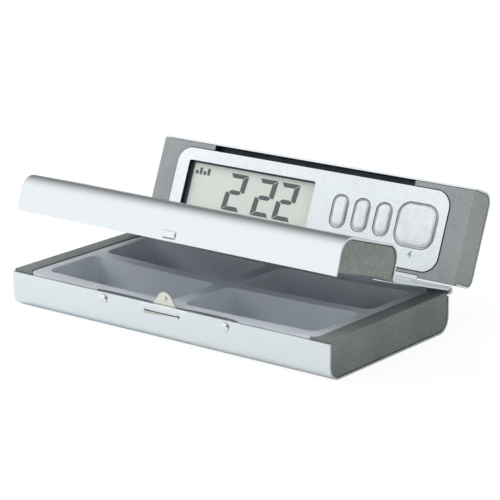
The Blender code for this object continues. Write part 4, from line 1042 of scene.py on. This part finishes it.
def digitStrokes(width, height, stroke, gap):
    # The five strokes of a 2: top, upper right, middle, lower left, bottom
    v, h = stroke
    slope = v * slopeShare
    half, inner = height / 2, width - v
    top = [(gap, height), (width - gap, height), (inner - gap / 2, height - h), (slope + gap, height - h)]
    upper = [(width, height - gap), (width, half + gap), (width - slope, half + gap),
             (inner, half + h / 2 + gap), (inner, height - h - gap)]
    middle = [(slope + gap, half), (v + gap, half - h / 2), (inner - gap, half - h / 2),
              (width - slope - gap, half), (inner - gap, half + h / 2), (v + gap, half + h / 2)]
    top, upper, middle = (np.array(points) for points in (top, upper, middle))
    flip = np.array((width, height))
    return [top, upper, middle, flip - upper, flip - top]


def joinMeshes(name, parts):
    shape = bmesh.new()
    for part in parts:
        shape.from_mesh(part.data)
        bpy.data.objects.remove(part, do_unlink=True)
    mesh = bpy.data.meshes.new(name)
    shape.to_mesh(mesh)
    shape.free()
    return addObject(name, mesh)


def buildDisplay():
    # A pane, with thin raised outlines for its digits and bars, and a painted shadow along the window's
    # edges
    s = displaySizes
    paneLoop = boxLoop((s["left"], s["low"]), (s["right"], s["high"]))
    pane = prism("display_pane", paneLoop, s["front"], s["back"], "y")
    smoothEdges(pane, s["edge"])
    settle(pane, "clock", [lcdFace], ["lcd_glass"])
    raised = (s["front"] - s["raise"], s["front"] + s["raise"], "y")
    parts = []
    middle = s["digitSize"][1] / 2
    for x in s["digitPlaces"]:
        for stroke in digitStrokes(*s["digitSize"], s["stroke"], s["gap"]):
            slanted = stroke + np.stack([(stroke[:, 1] - middle) * digitSlant, np.zeros(len(stroke))], -1)
            parts.append(slanted + np.array((x, s["digitLow"])))
    width, height = s["markSize"]
    for bar in range(markBars):
        low = np.array(s["markPlace"]) + np.array((bar * s["markPitch"], 0))
        parts.append(boxLoop(low, low + np.array((width, height * (1 if bar % 2 else lowBarShare)))))
    digits = joinMeshes("display_digits", [tool(part, *raised) for part in parts])
    smoothEdges(digits, 0, angle=30)
    settle(digits, "clock", [lcdInk])
    # Painted shadow: an L along the window's left and upper edges, where the window's walls shade the pane
    left, _, _, high = panelSizes["window"]
    left += s["border"][0]
    high -= s["border"][1]
    edge = np.array([(s["left"], s["low"]), (left, s["low"]), (left, high), (s["right"], high),
                     (s["right"], s["high"]), (s["left"], s["high"])])
    border = prism("display_border", edge, *raised)
    smoothEdges(border, 0, angle=30)
    settle(border, "clock", [lcdPaintedShadow])


# Plain numbers printed under the keys
printSizes = inMm({"low": 6.2, "size": 2.5, "raise": 0.012, "merge": 0.001})
printInk = makeFinish(
    "printInk", colour=(0.10, 0.115, 0.12), roughness=(0.5, 0.65), tone=(900, 0.1), grain=(6000, 0.08),
    depth=0.005)


def buildNumbers():
    # Text outlines, slightly thick, stood up on the panel
    s = printSizes
    parts = []
    for number, x in enumerate(buttonSizes["places"].values(), start=1):
        curve = bpy.data.curves.new("number", "FONT")
        curve.body = str(number)
        curve.size = s["size"]
        curve.align_x = "CENTER"
        curve.extrude = s["raise"]
        curve.resolution_u = 6
        text = addObject("number", curve)
        bpy.context.view_layer.update()
        mesh = bpy.data.meshes.new_from_object(text.evaluated_get(bpy.context.evaluated_depsgraph_get()))
        bpy.data.objects.remove(text, do_unlink=True)
        upright = Matrix.Rotation(math.pi / 2, 4, "X")
        mesh.transform(Matrix.Translation((x, panelSizes["front"], s["low"])) @ upright)
        faceOut(mesh, s["merge"])
        parts.append(addObject("number", mesh))
    numbers = joinMeshes("printed_numbers", parts)
    smoothEdges(numbers, 0, angle=30)
    settle(numbers, "clock", [printInk])


buildBaseSheet()
buildBaseCap(-1)
buildBaseCap(1)
buildTray()
print("base made")
buildLatch()
buildRivet(-1)
buildRivet(1)
buildPin()
print("latch and pin made")
buildLidSheet()
buildLidCap(-1)
buildLidCap(1)
print("lid made")
buildCover()
buildDoor()
buildFrame()
buildPanel()
for keyName in buttonSizes["places"]:
    buildButton(keyName)
buildDisplay()
buildNumbers()
print("clock leaf made")

# Inner pieces keep their model shapes and get their own finishes
innerLooks = {
    "backlight_panel": dict(
        colour=(0.82, 0.86, 0.78), roughness=(0.4, 0.55), tone=(80, 0.03), grain=(4000, 0.03), depth=0.01),
    "display_connector": dict(
        colour=(0.05, 0.05, 0.055), roughness=(0.7, 0.85), brush=((6000, 60, 60), 0.5), depth=0.02),
    "backlight_led": dict(
        colour=(0.88, 0.88, 0.74), roughness=(0.2, 0.3), tone=(800, 0.04), grain=(6000, 0.03), coat=0.5),
    "keypad_mat": dict(
        colour=(0.50, 0.52, 0.53), roughness=(0.65, 0.8), tone=(120, 0.04), grain=(5000, 0.05),
        depth=0.015, dust=0.05),
    "circuit_board": dict(
        colour=(0.03, 0.17, 0.07), roughness=(0.35, 0.5), tone=(260, 0.12), brush=((900, 900, 3600), 0.15),
        depth=0.02),
    "board_screw": dict(
        colour=(0.52, 0.52, 0.53), metallic=1.0, roughness=(0.25, 0.4), tone=(900, 0.05),
        grain=(7000, 0.05), depth=0.006),
    "coin_cell": dict(
        colour=(0.70, 0.70, 0.69), metallic=1.0, roughness=(0.18, 0.3), tone=(150, 0.03),
        brush=((300, 300, 5000), 0.04), depth=0.004),
    "contact": dict(
        colour=(0.76, 0.64, 0.38), metallic=1.0, roughness=(0.25, 0.4), tone=(300, 0.05),
        brush=((500, 6000, 6000), 0.05), depth=0.005),
    "piezo_buzzer": dict(
        colour=(0.72, 0.57, 0.30), metallic=1.0, roughness=(0.3, 0.45), tone=(250, 0.06),
        grain=(6000, 0.04), depth=0.005),
}
for look, values in innerLooks.items():
    finish = makeFinish("inner_" + look, **values)
    for nodeName, node in frame["nodes"].items():
        if look in nodeName:
            node.data.materials.clear()
            node.data.materials.append(finish)
print("inner pieces finished")

# Camera, lights, world and floor
cameraSizes = {
    "azimuth": 38.014, "elevation": 15.65, "roll": -0.218, "focal": 2237.583, "image": 500, "sensor": 36,
    "right": 5.912 * mm, "up": 17.58 * mm, "distance": 575.2 * mm, "clip": (10 * mm, 20),
}


def buildCamera():
    s = cameraSizes
    azimuth, elevation, roll = (math.radians(s[key]) for key in ("azimuth", "elevation", "roll"))
    level = math.cos(elevation)
    back = Vector((math.sin(azimuth) * level, -math.cos(azimuth) * level, math.sin(elevation)))
    right = Vector((math.cos(azimuth), math.sin(azimuth), 0))
    up = back.cross(right)
    turnedRight = right * math.cos(roll) + up * math.sin(roll)
    turnedUp = up * math.cos(roll) - right * math.sin(roll)
    eye = back * s["distance"] + right * s["right"] + up * s["up"]
    data = bpy.data.cameras.new("camera")
    data.sensor_width = s["sensor"]
    data.lens = s["focal"] / s["image"] * s["sensor"]
    data.clip_start, data.clip_end = s["clip"]
    scene.camera = addObject("camera", data)
    turn = Matrix((turnedRight, turnedUp, back)).transposed().to_4x4()
    scene.camera.matrix_world = Matrix.Translation(eye) @ turn


# Each lamp: where it is, its side, and how bright its face is
lampSizes = {
    "key": {"place": (-0.55, -0.22, 0.42), "side": 0.5, "radiance": 4.4},
    "top": {"place": (-0.12, -0.05, 0.75), "side": 0.7, "radiance": 0.8},
    "right": {"place": (0.80, -0.25, 0.14), "side": 0.45, "radiance": 1.85},
}
lookAt = Vector((0, 0, 10 * mm))


def buildLamps():
    for name, s in lampSizes.items():
        data = bpy.data.lights.new(name, "AREA")
        data.size = s["side"]
        data.energy = s["radiance"] * math.pi * s["side"] ** 2
        lamp = addObject(name, data)
        lamp.visible_glossy = False
        place = Vector(s["place"])
        turn = (place - lookAt).to_track_quat("Z", "Y").to_matrix().to_4x4()
        lamp.matrix_world = Matrix.Translation(place) @ turn


# Each ramp: where it starts and ends along its direction, and what it starts and ends at
worldSizes = {
    "diffuse": 0.52, "tint": (0.97, 0.985, 1, 1), "brightest": 1.08, "darkest": 0.15,
    "behind": (-0.5, 0.9, 0, 1), "raised": (-0.05, 0.05, 0, 1), "right": (0.45, 0.75, 1, 0.08),
    "near": (0.8, 0.97, 1, 0.12), "towards": (0.567, -0.81, 0.15),
}


def smoothRamp(tree, value, sizes):
    return addNode(tree, "MapRange", value, *sizes,
                   settings={"interpolation_type": "SMOOTHSTEP"}).outputs["Result"]


def mixShaders(tree, share, first, second):
    return addNode(tree, "MixShader", share, first, second).outputs[0]


def seenStraight(tree, paths):
    return maths(tree, "MAXIMUM", paths["Is Camera Ray"], paths["Is Transmission Ray"])


def buildWorld():
    # White for the camera. Metal sees white in front and overhead, a darker wall behind the object,
    # and a dark patch in front on the right.
    s = worldSizes
    world = bpy.data.worlds.new("studio")
    world.use_nodes = True
    scene.world = world
    tree = world.node_tree
    tree.nodes.clear()
    direction = addNode(tree, "TexCoord").outputs["Generated"]
    x, y, z = addNode(tree, "SeparateXYZ", direction).outputs
    facing = addNode(tree, "VectorMath", direction, s["towards"], settings={"operation": "DOT_PRODUCT"})
    dark = maths(tree, "MULTIPLY", smoothRamp(tree, y, s["behind"]), smoothRamp(tree, z, s["raised"]))
    wall = addNode(tree, "MapRange", Value=dark, To_Min=s["brightest"], To_Max=s["darkest"])
    sides = maths(tree, "MULTIPLY", wall.outputs["Result"], smoothRamp(tree, x, s["right"]))
    seenInMetal = maths(tree, "MULTIPLY", sides, smoothRamp(tree, facing.outputs["Value"], s["near"]))
    plain = addNode(tree, "Background", Color=s["tint"], Strength=s["diffuse"])
    seen = addNode(tree, "Background", Color=(1, 1, 1, 1), Strength=1.0)
    mirrored = addNode(tree, "Background", Color=(1, 1, 1, 1), Strength=seenInMetal)
    paths = addNode(tree, "LightPath").outputs
    glossy = mixShaders(tree, paths["Is Glossy Ray"], plain.outputs[0], mirrored.outputs[0])
    final = mixShaders(tree, seenStraight(tree, paths), glossy, seen.outputs[0])
    addNode(tree, "OutputWorld", Surface=final)


floorSizes = {
    "half": 3.0, "below": 0.02 * mm, "colour": (0.86, 0.87, 0.87), "roughness": 0.9, "lift": 0.87,
    "glow": 1.05,
}


def buildFloor():
    # Lifted towards white where the camera sees it straight
    s = floorSizes
    half = s["half"]
    mesh = bpy.data.meshes.new("floor")
    corners = [(x, y, -s["below"]) for x, y in boxLoop((-half, -half), (half, half))]
    mesh.from_pydata(corners, [], [(0, 1, 2, 3)])
    floor = addObject("floor", mesh)
    material, tree, shader = newMaterial("paleFloor")
    feedNamed(shader, Base_Color=(*s["colour"], 1), Roughness=s["roughness"], Specular_IOR_Level=0.0)
    lifted = addNode(tree, "Emission", Color=(1, 1, 1, 1), Strength=s["glow"])
    share = maths(tree, "MULTIPLY", seenStraight(tree, addNode(tree, "LightPath").outputs), s["lift"])
    mixed = mixShaders(tree, share, shader.outputs[0], lifted.outputs[0])
    feed(tree.nodes["Material Output"].inputs["Surface"], mixed)
    mesh.materials.append(material)


buildCamera()
buildLamps()
buildWorld()
buildFloor()
print("studio made")
